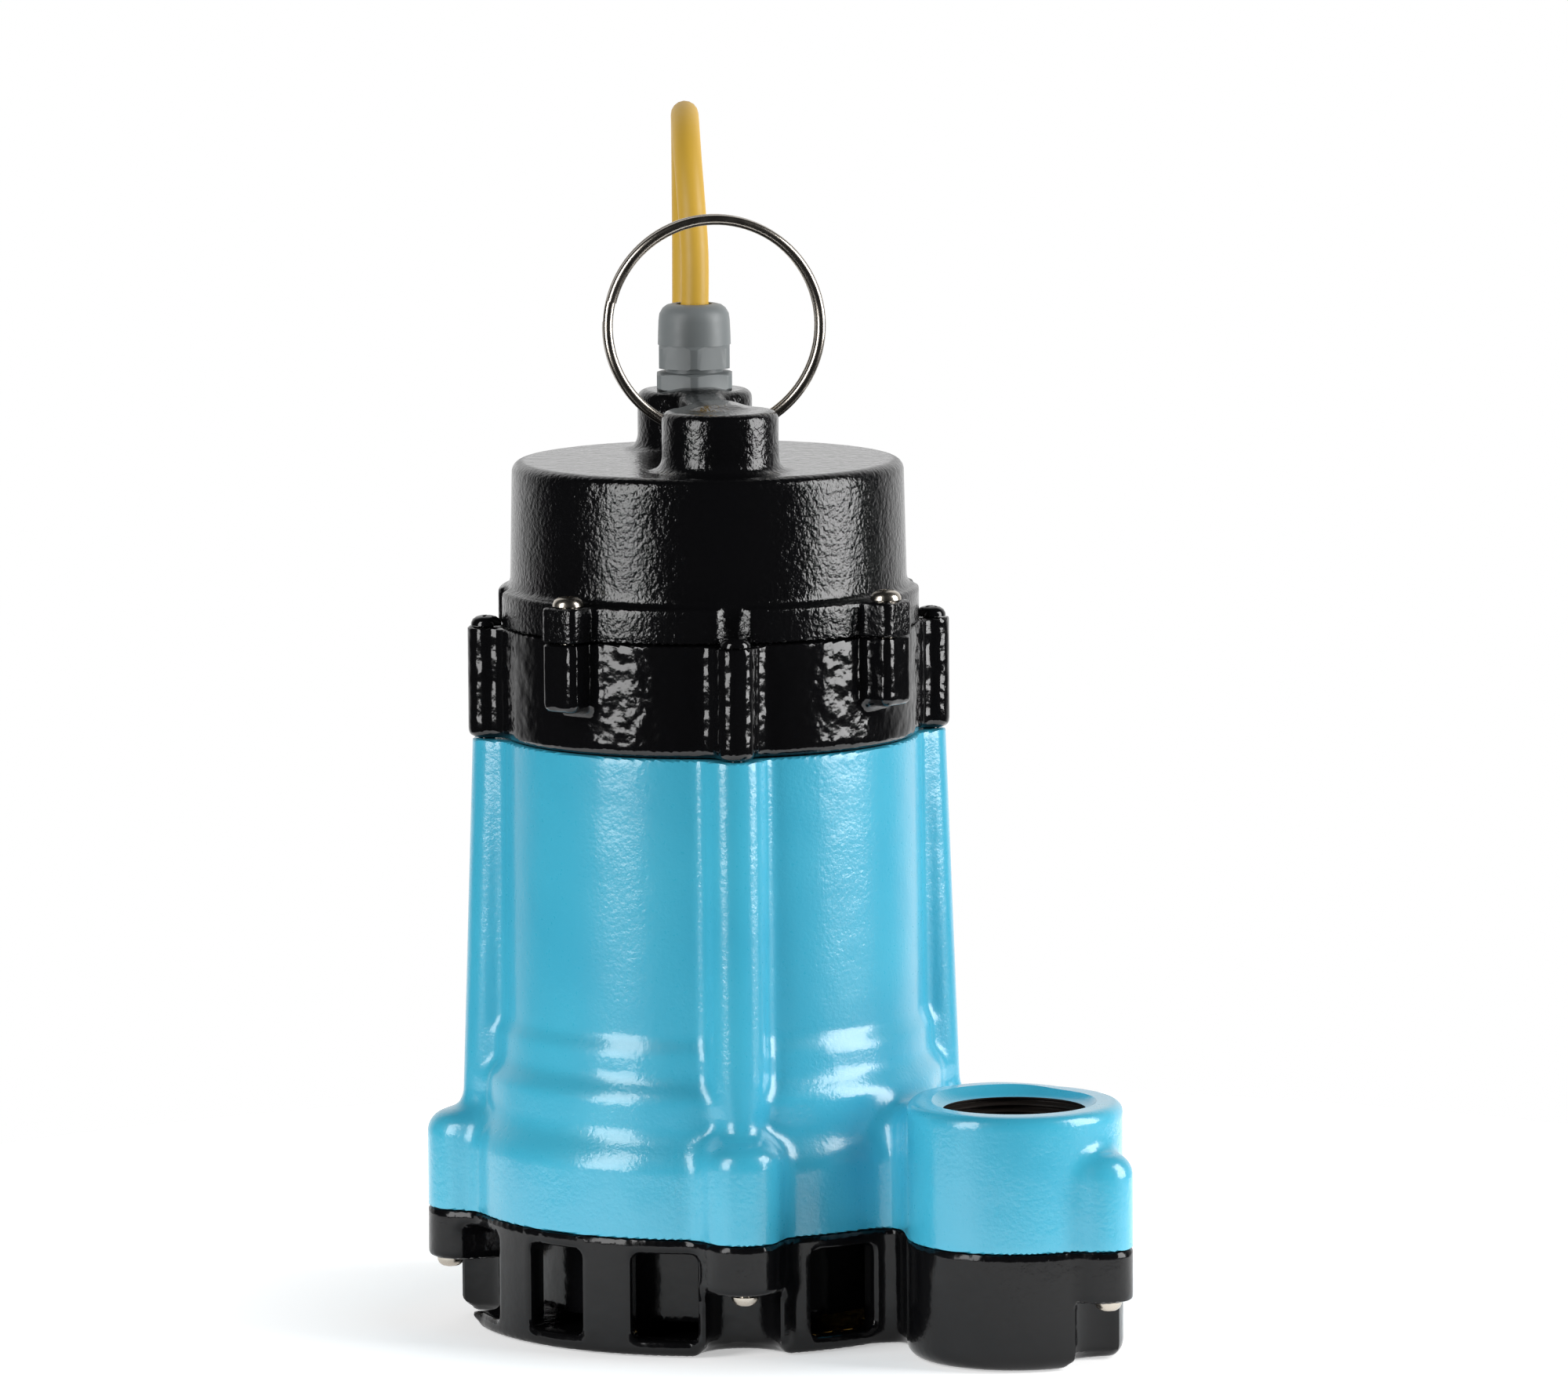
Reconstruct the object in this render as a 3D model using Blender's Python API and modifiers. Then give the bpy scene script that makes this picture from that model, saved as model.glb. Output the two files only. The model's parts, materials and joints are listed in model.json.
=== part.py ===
"""Submersible cast-iron sump pump with a lift ring and a yellow supply cord.

Sizes are in millimetres and become metres in the helpers. +Z is the shaft axis, pointing up, +X points from
the shaft to the discharge, and the origin is on the shaft axis at the underside of the base.
"""

import math

import bmesh
import bpy
from mathutils import Matrix, Vector

MM = 0.001
GAP = 0.3
CORNERS = (-135, -45, 45, 135)  # where the ribs, ears and bracket lugs stand
QUARTERS = (0, 90, 180, -90)  # where the cap is screwed down

# Levels of the stacked castings, from the floor up
BASE_TOP = 36.3
BRACKET_BOTTOM = 184.0
CAP_BOTTOM = 219.0
FLANGE_TOP = 229.9
CAP_TOP = 269.4
HANDLE_TOP = 288.0

# Castings
VOLUTE_RADIUS = 75.2
VOLUTE_SWELL = 2.0  # how far the volute wall grows and shrinks round its spiral
VOLUTE_SWELL_ANGLE = -80.0
BODY_RADIUS_TOP = 65.5
EAR_RADIUS = 12.0
EAR_REACH = 89.6
EAR_BOTTOM = 20.5
EAR_TOP = 63.0
RIB_RADIUS = 9.0
BRACKET_RADIUS = 66.0
LUG_RADIUS = 5.8
LUG_SCREW_CIRCLE = 69.7
CAP_SCREW_CIRCLE = 69.5
BASE_SCREW_CIRCLE = 82.8
MOTOR_BORE = 58.5
HANDLE_POST_RADIUS = 18.0
HANDLE_POST_OFFSET = 34.0
HANDLE_WEB = 12.6

# Discharge boss
BOSS_X = 118.0
BOSS_RADIUS = 33.3
BOSS_TOP = 78.7
BOSS_BORE = 22.3
BOSS_CHAMFER = 25.3
NECK_SIDES = (-9.0, 27.0)  # the volute leaves for the boss on its +Y side
NECK_TOP = 72.0
OUTLET_EAR_REACH = 160.6
OUTLET_EAR_RADIUS = 10.0
OUTLET_SCREW_X = 153.5

# Strainer windows, by the angle of their middle and their width there
WINDOWS = ((-120, 21), (-91.5, 21), (-63, 21), (-19.5, 23), (63, 21), (91.5, 21), (120, 21), (180, 21))
WINDOW_BOTTOM = 5.0
WINDOW_TOP = 32.0
FLOOR_PLATE = 4.0
BASE_CAVITY = 70.0
SUCTION_EYE = 22.0
LEG_RADIUS = 79.2  # how far the horns beside each screw recess stand out
LEG_HALF_WIDTH = 15.5
SKIRT_INNER = 56.5  # the skirt under the suction eye keeps air out of the intake
SKIRT_OUTER = 60.2
SKIRT_BOTTOM = 8.0

# Lift ring, a split ring of two turns standing in the handle's eye
LIFT_WIRE = 3.2
LIFT_RADIUS = 33.2
LIFT_PIVOT_Z = 277.6
LIFT_SLIDE = 2.3  # how far the ring has slid sideways in its eye
LIFT_EYE_RADIUS = 6.2
HANDLE_ANGLE = -45.0  # the front post's direction; the gland's post is opposite

# Supply cord
CORD_DIAMETER = 8.8
CORD_START_Z = 289.0
GLAND_TOP = 314.8
CORD_HEADING = 128.44  # the direction in which the cord arches over and down
COIL_ASIDE = 29.2  # from the gland to the coil's middle, aside of and along that heading
COIL_BEHIND = 119.0
COIL_COLUMNS = 3
COIL_LAYERS = 3
COIL_MIDDLE = 48.5  # radius of the middle column of turns

# Rotating parts
SHAFT_TOP = 204.0
IMPELLER_RADIUS = 46.0
VANES = 6
ROTOR_RADIUS = 30.5
STATOR_RADIUS = 58.2
STACK_BOTTOM = 105.0
STACK_TOP = 163.0
SLOTS = 12
LOWER_BEARING = {"bottom": 78.3, "bore": 17.0, "outside": 40.0, "width": 12.0, "balls": 7}
UPPER_BEARING = {"bottom": 190.3, "bore": 15.0, "outside": 35.0, "width": 11.0, "balls": 7}


def new_collection(name):
    collection = bpy.data.collections.new(name)
    bpy.context.scene.collection.children.link(collection)
    return collection


for leftover in list(bpy.data.objects):
    bpy.data.objects.remove(leftover)
PUMP = new_collection("submersible_sump_pump")
CUTTERS = new_collection("cutters")


def material(name, colour, roughness, metallic=0.0):
    made = bpy.data.materials.new(name)
    made.use_nodes = True
    shader = made.node_tree.nodes["Principled BSDF"]
    shader.inputs["Base Color"].default_value = (*colour, 1.0)
    shader.inputs["Roughness"].default_value = roughness
    shader.inputs["Metallic"].default_value = metallic
    made.diffuse_color = (*colour, 1.0)
    return made


BLUE_ENAMEL = material("blue_enamel", (0.07, 0.41, 0.59), 0.25)
BLACK_ENAMEL = material("black_enamel", (0.006, 0.006, 0.007), 0.15)
STAINLESS = material("stainless", (0.55, 0.52, 0.48), 0.25, 1.0)
PLATED_WIRE = material("plated_wire", (0.45, 0.41, 0.36), 0.3, 1.0)
GREY_NYLON = material("grey_nylon", (0.21, 0.23, 0.235), 0.45)
YELLOW_JACKET = material("yellow_jacket", (0.65, 0.40, 0.06), 0.5)
SILICON_STEEL = material("silicon_steel", (0.35, 0.35, 0.37), 0.4, 1.0)
COPPER = material("copper", (0.55, 0.22, 0.10), 0.35, 1.0)
ALUMINIUM = material("aluminium", (0.6, 0.6, 0.62), 0.35, 1.0)
BEARING_STEEL = material("bearing_steel", (0.6, 0.6, 0.6), 0.15, 1.0)
CERAMIC = material("ceramic", (0.7, 0.68, 0.62), 0.3)
RUBBER = material("rubber", (0.02, 0.02, 0.02), 0.7)
BRASS = material("brass", (0.6, 0.42, 0.16), 0.3, 1.0)
GREY_CAN = material("grey_can", (0.4, 0.4, 0.4), 0.4, 1.0)
IRON = material("bare_iron", (0.12, 0.12, 0.13), 0.5, 1.0)
WIRE_BLACK = material("wire_black", (0.01, 0.01, 0.01), 0.5)
WIRE_WHITE = material("wire_white", (0.8, 0.8, 0.78), 0.5)
WIRE_GREEN = material("wire_green", (0.02, 0.25, 0.05), 0.5)


def polar(radius, degrees, z=0.0):
    angle = math.radians(degrees)
    return Vector((radius * math.cos(angle), radius * math.sin(angle), z))


def link(name, mesh, finish):
    """Puts the mesh in the pump, or among the cutters where it has no finish."""
    made = bpy.data.objects.new(name, mesh)
    if finish is None:
        CUTTERS.objects.link(made)
        made.hide_render = True
        made.display_type = "WIRE"
    else:
        PUMP.objects.link(made)
        mesh.materials.append(finish)
        mesh.shade_smooth()
        mesh.set_sharp_from_angle(angle=math.radians(35))
    return made


def from_bmesh(name, shape, finish, matrix=None):
    bmesh.ops.scale(shape, vec=Vector((MM, MM, MM)), verts=shape.verts)
    mesh = bpy.data.meshes.new(name)
    shape.to_mesh(mesh)
    shape.free()
    made = link(name, mesh, finish)
    if matrix is not None:
        made.matrix_world = matrix
    return made


def add_cylinder(shape, radius, bottom, top, at=(0.0, 0.0), sides=24, top_radius=None):
    middle = Matrix.Translation((at[0], at[1], (bottom + top) / 2))
    bmesh.ops.create_cone(
        shape, cap_ends=True, segments=sides, radius1=radius,
        radius2=radius if top_radius is None else top_radius, depth=top - bottom, matrix=middle)


def add_box(shape, low, high, turn=None):
    size = Vector(high) - Vector(low)
    middle = (Vector(high) + Vector(low)) / 2
    matrix = Matrix.Translation(middle) @ Matrix.Diagonal((*size, 1.0))
    bmesh.ops.create_cube(shape, size=1.0, matrix=matrix if turn is None else turn @ matrix)


def cylinders(name, finish, places, radius, bottom, top, sides=24):
    """One object holding an upright cylinder at each place."""
    shape = bmesh.new()
    for at in places:
        add_cylinder(shape, radius, bottom, top, at, sides)
    return from_bmesh(name, shape, finish)


def box(name, finish, low, high, turn=None):
    shape = bmesh.new()
    add_box(shape, low, high, turn)
    return from_bmesh(name, shape, finish)


def turned(name, finish, profile, steps=32, closed=True, matrix=None):
    """A profile of (radius, z) turned round Z. It runs down its outer side; an open one ends on the axis."""
    mesh = bpy.data.meshes.new(name)
    count = len(profile)
    edges = [(i, (i + 1) % count) for i in range(count if closed else count - 1)]
    mesh.from_pydata([(r * MM, 0.0, z * MM) for r, z in profile], edges, [])
    made = link(name, mesh, finish)
    screw = made.modifiers.new("turn", "SCREW")
    screw.axis = "Z"
    screw.steps = steps
    screw.render_steps = steps
    screw.use_merge_vertices = True
    screw.merge_threshold = 0.0001
    screw.use_normal_calculate = False
    if matrix is not None:
        made.matrix_world = matrix
    return made


def ring(name, finish, inner, outer, bottom, top, steps=28, bevel=0.0):
    """A plain turned ring, with its four corners cut by bevel."""
    if not bevel:
        return turned(name, finish, [(outer, top), (outer, bottom), (inner, bottom), (inner, top)], steps)
    return turned(name, finish, [
        (outer - bevel, top), (outer, top - bevel), (outer, bottom + bevel), (outer - bevel, bottom),
        (inner + bevel, bottom), (inner, bottom + bevel), (inner, top - bevel), (inner + bevel, top)], steps)


def boolean(made, operation, *others):
    for other in others:
        modifier = made.modifiers.new(operation.lower() + "_" + other.name, "BOOLEAN")
        modifier.operation = operation
        modifier.object = other
    return made


def cut(made, *others):
    return boolean(made, "DIFFERENCE", *others)


def join(made, *others):
    return boolean(made, "UNION", *others)


def outline(name, finish, points, bottom, top, matrix=None):
    """A flat outline, given anticlockwise, raised from bottom to top."""
    shape = bmesh.new()
    corners = [shape.verts.new((x, y, bottom)) for x, y in points]
    face = shape.faces.new(corners)
    raised = bmesh.ops.extrude_face_region(shape, geom=[face])
    moved = [item for item in raised["geom"] if isinstance(item, bmesh.types.BMVert)]
    bmesh.ops.translate(shape, verts=moved, vec=(0, 0, top - bottom))
    bmesh.ops.recalc_face_normals(shape, faces=shape.faces)
    return from_bmesh(name, shape, finish, matrix)


def hexagon(across_corners, at, turn=0.0):
    return [tuple((polar(across_corners / 2, 60 * i + turn) + Vector((*at, 0)))[:2]) for i in range(6)]


def tube(name, finish, points, radius, resolution=2):
    """A round wire through points, with closed ends."""
    curve = bpy.data.curves.new(name, "CURVE")
    curve.dimensions = "3D"
    curve.bevel_depth = radius * MM
    curve.bevel_resolution = resolution
    curve.use_fill_caps = True
    spline = curve.splines.new("POLY")
    spline.points.add(len(points) - 1)
    for target, point in zip(spline.points, points):
        target.co = (*(Vector(point) * MM), 1.0)
    made = bpy.data.objects.new(name, curve)
    curve.materials.append(finish)
    PUMP.objects.link(made)
    return made


def soft_max(a, b, blend):
    """The larger of two, rounded where they are within blend of each other, as a fillet is."""
    near = max(blend - abs(a - b), 0.0) / blend
    return max(a, b) + near * near * blend / 4


def lobe(angle, at, reach, radius):
    """Distance from the axis to a round-nosed lobe with straight sides, along a ray at the angle."""
    offset = math.radians((angle - at + 180) % 360 - 180)
    if abs(offset) > math.pi / 2:
        return 0.0
    centre = reach - radius
    aside = centre * abs(math.sin(offset))
    if aside < radius:
        return centre * math.cos(offset) + math.sqrt(radius * radius - aside * aside)
    return radius / abs(math.sin(offset))


def lofted(name, finish, section, levels, columns=72):
    """A skin through section(angle, level) at each level, from the lowest up, with flat ends."""
    shape = bmesh.new()
    rings = []
    for level in levels:
        angles = [360 * i / columns for i in range(columns)]
        rings.append([shape.verts.new(polar(section(a, level), a, level)) for a in angles])
    for low, high in zip(rings, rings[1:]):
        for i in range(columns):
            j = (i + 1) % columns
            shape.faces.new((low[i], low[j], high[j], high[i]))
    shape.faces.new(rings[0][::-1])
    shape.faces.new(rings[-1])
    return from_bmesh(name, shape, finish)


def between(table, level):
    """The value at a level, on straight lines through a table of (level, value)."""
    for (low, a), (high, b) in zip(table, table[1:]):
        if level <= high:
            return a + (b - a) * (level - low) / (high - low)
    return table[-1][1]


def volute_wall(angle):
    return VOLUTE_RADIUS + VOLUTE_SWELL * math.cos(math.radians(angle - VOLUTE_SWELL_ANGLE))


# How far the body, its ribs and its ears stand out at each level. Below the first level of BODY the volute
# sets the wall.
BODY = ((64, 74.0), (68, 72.6), (78, 72.2), (84, 71.0), (90, 68.8), (97, 67.4), (110, 66.9),
        (BRACKET_BOTTOM, BODY_RADIUS_TOP))
RIBS = ((BASE_TOP, 78.4), (72, 78.2), (BRACKET_BOTTOM, 74.2))
EARS = ((BASE_TOP, EAR_REACH), (54, EAR_REACH), (59, 88.6), (EAR_TOP, 85.0), (66, 79.0), (69, 70.0))
BODY_LEVELS = (BASE_TOP + GAP, 54, 59, 63, 66, 69, 78, 84, 90, 97, 110, BRACKET_BOTTOM - GAP)


def body_section(angle, level):
    wall = between(BODY, level)
    if level < 66:
        drop = max(level - 56, 0.0) / 10  # the volute's shoulder rounds off over its last 10 mm
        wall = max(volute_wall(angle) - 3.0 * drop * drop, BODY[1][1])
    for at in CORNERS:
        wall = soft_max(wall, lobe(angle, at, between(RIBS, level), RIB_RADIUS), 5.0)
        if level < EARS[-1][0]:
            wall = soft_max(wall, lobe(angle, at, between(EARS, level), EAR_RADIUS), 3.0)
    return wall


def base_section(angle, level):
    edge = max(2.0 - level, 0.0)  # the rim is rounded where it meets the floor
    wall = volute_wall(angle) - edge * edge / 2
    for at in CORNERS:
        wall = soft_max(wall, lobe(angle, at, EAR_REACH, EAR_RADIUS), 8.0)
    return wall


def leg_section(angle, level):
    """The base below its ears, where only horns beside the screw recesses stand out."""
    wall = base_section(angle, level)
    for at in CORNERS:
        wall = soft_max(wall, lobe(angle, at, LEG_RADIUS + 6, LEG_HALF_WIDTH), 3.0)
    return min(wall, LEG_RADIUS)


def bracket_section(angle, level):
    wall = BRACKET_RADIUS
    for at in CORNERS:
        wall = soft_max(wall, lobe(angle, at, LUG_SCREW_CIRCLE + LUG_RADIUS, LUG_RADIUS), 6.0)
    return wall


def places(radius, angles):
    return [tuple(polar(radius, angle)[:2]) for angle in angles]


def pan_screw(name, finish, at, seat, length, head=4.75, shank=2.4, height=3.0, upright=True):
    """A pan-head screw whose head rests at seat and whose shank runs into the casting."""
    profile = [(0, height), (head * 0.62, height * 0.9), (head, height * 0.3), (head, 0), (shank, 0),
               (shank, -length), (0, -length)]
    flip = Matrix.Identity(4) if upright else Matrix.Rotation(math.pi, 4, "X")
    place = Matrix.Translation((at[0] * MM, at[1] * MM, seat * MM)) @ flip
    return turned(name, finish, profile, 10, closed=False, matrix=place)


# --- Castings ---------------------------------------------------------------------------------------------

def make_base():
    base = lofted("base_strainer", BLACK_ENAMEL, base_section, (EAR_BOTTOM, BASE_TOP), 120)
    legs = lofted("base_legs", None, leg_section, (0, 2, EAR_BOTTOM + 3), 120)
    foot = cylinders("outlet_foot", None, [(BOSS_X, 0)], BOSS_RADIUS, 0, BASE_TOP, 40)
    neck = box("outlet_neck", None, (60, NECK_SIDES[0], 0), (BOSS_X, NECK_SIDES[1], BASE_TOP))
    toe = cylinders("outlet_toe", None, [(OUTLET_EAR_REACH - OUTLET_EAR_RADIUS, 0)], OUTLET_EAR_RADIUS,
                    0.5, BASE_TOP, 24)
    join(base, legs, foot, neck, toe)
    recess = cylinders("screw_recesses", None, places(77.5, CORNERS) + [(153.5, 0)], 11.5, -2, EAR_BOTTOM, 20)
    hollow = cylinders("intake_chamber", None, [(0, 0)], BASE_CAVITY, FLOOR_PLATE, BASE_TOP - 4.0, 60)
    cut(hollow, cylinders("recess_backs", None, places(77.5, CORNERS), 15.5, 0, BASE_TOP, 20),
        ring("suction_skirt", None, SKIRT_INNER, SKIRT_OUTER, SKIRT_BOTTOM, BASE_TOP + 5, 40))
    eye = cylinders("suction_eye", None, [(0, 0)], SUCTION_EYE, 20, BASE_TOP + 5, 32)
    bowl = turned("outlet_bowl", None, [(0, 40), (22, 40), (22, 26), (18, 18), (10, 14), (0, 13)], 32,
                  closed=False, matrix=Matrix.Translation((BOSS_X * MM, 0, 0)))
    openings = bmesh.new()
    for angle, width in WINDOWS:
        add_box(openings, (55, -width / 2, WINDOW_BOTTOM), (90, width / 2, WINDOW_TOP),
                Matrix.Rotation(math.radians(angle), 4, "Z"))
    holes = cylinders("base_screw_holes", None, places(BASE_SCREW_CIRCLE, CORNERS) + [(OUTLET_SCREW_X, 0)],
                      2.4, 10, BASE_TOP + 5, 12)
    return cut(base, recess, hollow, eye, bowl, from_bmesh("window_openings", openings, None), holes)


def make_housing():
    housing = lofted("pump_housing", BLUE_ENAMEL, body_section, BODY_LEVELS)
    bottom = BASE_TOP + GAP
    boss = turned("discharge_boss", None, [
        (0, BOSS_TOP), (BOSS_RADIUS - 3, BOSS_TOP), (BOSS_RADIUS - 0.9, BOSS_TOP - 0.9),
        (BOSS_RADIUS, BOSS_TOP - 3), (BOSS_RADIUS, bottom), (0, bottom)], closed=False,
        matrix=Matrix.Translation((BOSS_X * MM, 0, 0)))
    neck = bmesh.new()
    add_box(neck, (60, NECK_SIDES[0], bottom), (BOSS_X, NECK_SIDES[1], NECK_TOP))
    toe = cylinders("discharge_toe", None, [(OUTLET_EAR_REACH - OUTLET_EAR_RADIUS, 0)], OUTLET_EAR_RADIUS,
                    bottom, EAR_TOP - 2, 24)
    join(housing, boss, from_bmesh("discharge_neck", neck, None), toe)
    motor = turned("motor_chamber", None, [
        (0, 190), (MOTOR_BORE, 190), (MOTOR_BORE, 82), (52, 76), (27, 76), (26, 90.6), (20.3, 90.6), (20.3, 78),
        (9.4, 78), (9.4, 70), (0, 70)], closed=False)
    volute = turned("volute_chamber", None, [
        (0, 73.9), (16.3, 73.9), (16.3, 66), (45, 66), (60, 63), (66, 56), (66, 30), (0, 30)], closed=False)
    passage = box("discharge_passage", None, (50, NECK_SIDES[0] + 6, 40), (BOSS_X, NECK_SIDES[1] - 6, 60))
    bore = turned("discharge_bore", None, [
        (0, 90), (BOSS_CHAMFER + 11, 90), (BOSS_CHAMFER, BOSS_TOP), (BOSS_BORE, BOSS_TOP - 3), (BOSS_BORE, 30),
        (0, 30)], 32, closed=False, matrix=Matrix.Translation((BOSS_X * MM, 0, 0)))
    groove = ring("housing_groove", None, 60.4, 63.4, BRACKET_BOTTOM - 2.6, BRACKET_BOTTOM + 3)
    low_holes = cylinders("housing_low_holes", None,
                          places(BASE_SCREW_CIRCLE, CORNERS) + [(OUTLET_SCREW_X, 0)], 2.4, 30, 53, 12)
    top_holes = cylinders("housing_top_holes", None, places(LUG_SCREW_CIRCLE, CORNERS), 2.7, 158, 190, 12)
    return cut(housing, motor, volute, passage, bore, groove, low_holes, top_holes)


def make_bracket():
    bracket = lofted("bearing_bracket", BLACK_ENAMEL, bracket_section,
                     (BRACKET_BOTTOM, CAP_BOTTOM - GAP))
    bosses = cylinders("bracket_bosses", None, places(CAP_SCREW_CIRCLE + 0.3, QUARTERS), 6.1, 198,
                       CAP_BOTTOM - GAP, 20)
    join(bracket, bosses)
    upper = turned("bracket_upper_hollow", None, [
        (0, 230), (MOTOR_BORE, 230), (MOTOR_BORE, 193), (23, 193), (23, 203), (17.8, 203), (17.8, 190),
        (9.4, 190), (9.4, 180), (0, 180)], closed=False)
    lower = ring("bracket_lower_hollow", None, 24, MOTOR_BORE, 180, 187)
    web_holes = cylinders("bracket_web_holes", None, places(41, QUARTERS), 11, 182, 198, 20)
    groove = ring("bracket_groove", None, 60.2, 63.2, CAP_BOTTOM - 2.6, CAP_BOTTOM + 3)
    long_holes = cylinders("bracket_long_holes", None, places(LUG_SCREW_CIRCLE, CORNERS), 2.7, 180, 225, 12)
    short_holes = cylinders("bracket_short_holes", None, places(CAP_SCREW_CIRCLE, QUARTERS), 2.7, 203, 225,
                            12)
    return cut(bracket, upper, lower, web_holes, groove, long_holes, short_holes)


def make_cap():
    cap = turned("top_cap", BLACK_ENAMEL, [
        (0, CAP_TOP), (57, CAP_TOP), (59.3, CAP_TOP - 0.7), (60.7, CAP_TOP - 2.3), (61, CAP_TOP - 4.5),
        (62, FLANGE_TOP + 1.5), (63.5, FLANGE_TOP), (64.8, FLANGE_TOP), (BODY_RADIUS_TOP, FLANGE_TOP - 0.7),
        (BODY_RADIUS_TOP, CAP_BOTTOM), (0, CAP_BOTTOM)], 48, closed=False)
    bosses = cylinders("cap_bosses", None, places(CAP_SCREW_CIRCLE, QUARTERS), 6.5, CAP_BOTTOM, FLANGE_TOP,
                       20)
    sides = (HANDLE_ANGLE, HANDLE_ANGLE + 180)
    posts = bmesh.new()
    for at in places(HANDLE_POST_OFFSET, sides):
        add_cylinder(posts, HANDLE_POST_RADIUS, 264, HANDLE_TOP, at, 40)
    along = Matrix.Rotation(math.radians(HANDLE_ANGLE), 4, "Z")
    web = box("handle_web", None, (-HANDLE_POST_OFFSET, -HANDLE_WEB / 2, 264),
              (HANDLE_POST_OFFSET, HANDLE_WEB / 2, HANDLE_TOP), along)
    join(cap, bosses, from_bmesh("handle_posts", posts, None), web)
    hollow = turned("cap_hollow", None, [(0, 262), (51, 262), (55.5, 257), (55.5, 200), (0, 200)],
                    closed=False)
    eye = bmesh.new()
    add_cylinder(eye, LIFT_EYE_RADIUS, -30, 30, sides=24)
    eye_place = Matrix.Translation((0, 0, LIFT_PIVOT_Z * MM)) @ along @ Matrix.Rotation(math.pi / 2, 4, "X")
    lift_eye = from_bmesh("lift_eye", eye, None, eye_place)
    notches = cylinders("flange_notches", None, places(LUG_SCREW_CIRCLE, CORNERS), 5.6, 210, 236, 20)
    holes = cylinders("cap_screw_holes", None, places(CAP_SCREW_CIRCLE, QUARTERS), 2.7, 210, 236, 12)
    entry = bmesh.new()
    gland_at = tuple(polar(HANDLE_POST_OFFSET, HANDLE_ANGLE + 180)[:2])
    add_cylinder(entry, 5.2, 250, 295, gland_at, 16)
    counterbore = cylinders("gland_thread", None, [gland_at], 10.9, HANDLE_TOP - 13, HANDLE_TOP + 5, 24)
    return cut(cap, hollow, lift_eye, notches, holes, from_bmesh("cord_entry_hole", entry, None), counterbore)


def make_screws():
    for i, at in enumerate(places(CAP_SCREW_CIRCLE, QUARTERS)):
        pan_screw(f"cap_screw_{i + 1}", STAINLESS, at, FLANGE_TOP + GAP, 24)
    for i, at in enumerate(places(LUG_SCREW_CIRCLE, CORNERS)):
        pan_screw(f"bracket_screw_{i + 1}", BLACK_ENAMEL, at, CAP_BOTTOM, 58)
    for i, at in enumerate(places(BASE_SCREW_CIRCLE, CORNERS) + [(OUTLET_SCREW_X, 0)]):
        pan_screw(f"base_screw_{i + 1}", STAINLESS, at, EAR_BOTTOM - GAP, 30, head=4.2, shank=2.1,
                  upright=False)


# --- Lift ring --------------------------------------------------------------------------------------------

def make_lift_ring():
    """Two turns of round wire, side by side along the handle, bottom turn lines in the handle's eye."""
    across = polar(1.0, HANDLE_ANGLE + 90)
    along = polar(1.0, HANDLE_ANGLE)
    centre = Vector((0, 0, LIFT_PIVOT_Z + LIFT_RADIUS)) + across * LIFT_SLIDE
    per_turn = 24
    count = 2 * per_turn - 3
    points = []
    for i in range(count + 1):
        angle = 2 * math.pi * i / per_turn + math.radians(200)
        offset = (LIFT_WIRE + GAP) * (i / per_turn - 1.0)
        around = across * math.cos(angle) + Vector((0, 0, 1)) * math.sin(angle)
        points.append(centre + around * LIFT_RADIUS + along * offset)
    return tube("lift_ring", PLATED_WIRE, points, LIFT_WIRE / 2, 1)


# --- Cord and gland ---------------------------------------------------------------------------------------

def make_gland():
    at = polar(HANDLE_POST_OFFSET, HANDLE_ANGLE + 180)
    place = Matrix.Translation((at.x * MM, at.y * MM, 0))
    bottom = HANDLE_TOP + GAP
    body = turned("gland_body", GREY_NYLON, [
        (9.0, 304), (9.0, bottom + 1), (10.5, bottom + 1), (10.5, 275.8), (4.8, 275.8), (4.8, 296), (7.3, 296),
        (7.3, 304)], 24, matrix=place)
    flats = outline("gland_body_hex", None, hexagon(26.7, (0, 0), 8), bottom, bottom + 5.9, place)
    bore = outline("gland_body_hex_bore", None, hexagon(16, (0, 0)), bottom - 1, bottom + 7, place)
    join(body, cut(flats, bore))
    nut = outline("gland_nut", GREY_NYLON, hexagon(25.0, (0, 0), 8), 294.8, 301.9, place)
    dome = turned("gland_dome", None, [
        (5.6, GLAND_TOP), (8.4, GLAND_TOP), (10.3, GLAND_TOP - 1.2), (11.4, GLAND_TOP - 3.6), (11.8, 306),
        (11.8, 295.2), (5.6, 295.2)], 32, matrix=place)
    hollow = turned("gland_nut_hollow", None, [
        (0, 330), (4.8, 330), (4.8, 310), (9.4, 305), (9.4, 290), (0, 290)], 24, closed=False, matrix=place)
    cut(join(nut, dome), hollow)
    seal = ring("gland_seal", RUBBER, 4.75, 7.0, 296.3, 305, 20)
    seal.matrix_world = place
    return body, nut, seal


def cord_point(aside, behind, z):
    """A point aside of and behind the gland, as seen along the cord's heading."""
    gland = polar(HANDLE_POST_OFFSET, HANDLE_ANGLE + 180)
    return gland + polar(behind, CORD_HEADING) + polar(aside, CORD_HEADING - 90) + Vector((0, 0, z))


COIL_TOP = COIL_LAYERS * CORD_DIAMETER
TAIL_START = (COIL_MIDDLE + (COIL_COLUMNS // 2) * CORD_DIAMETER, -150.0)  # radius and angle
TAIL_END = (76.0, -62.0)
PLUG_AXIS_Z = 12.3
BLADE_Z = 3.5  # above the plug's axis
PIN_BELOW = 8.4

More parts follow.
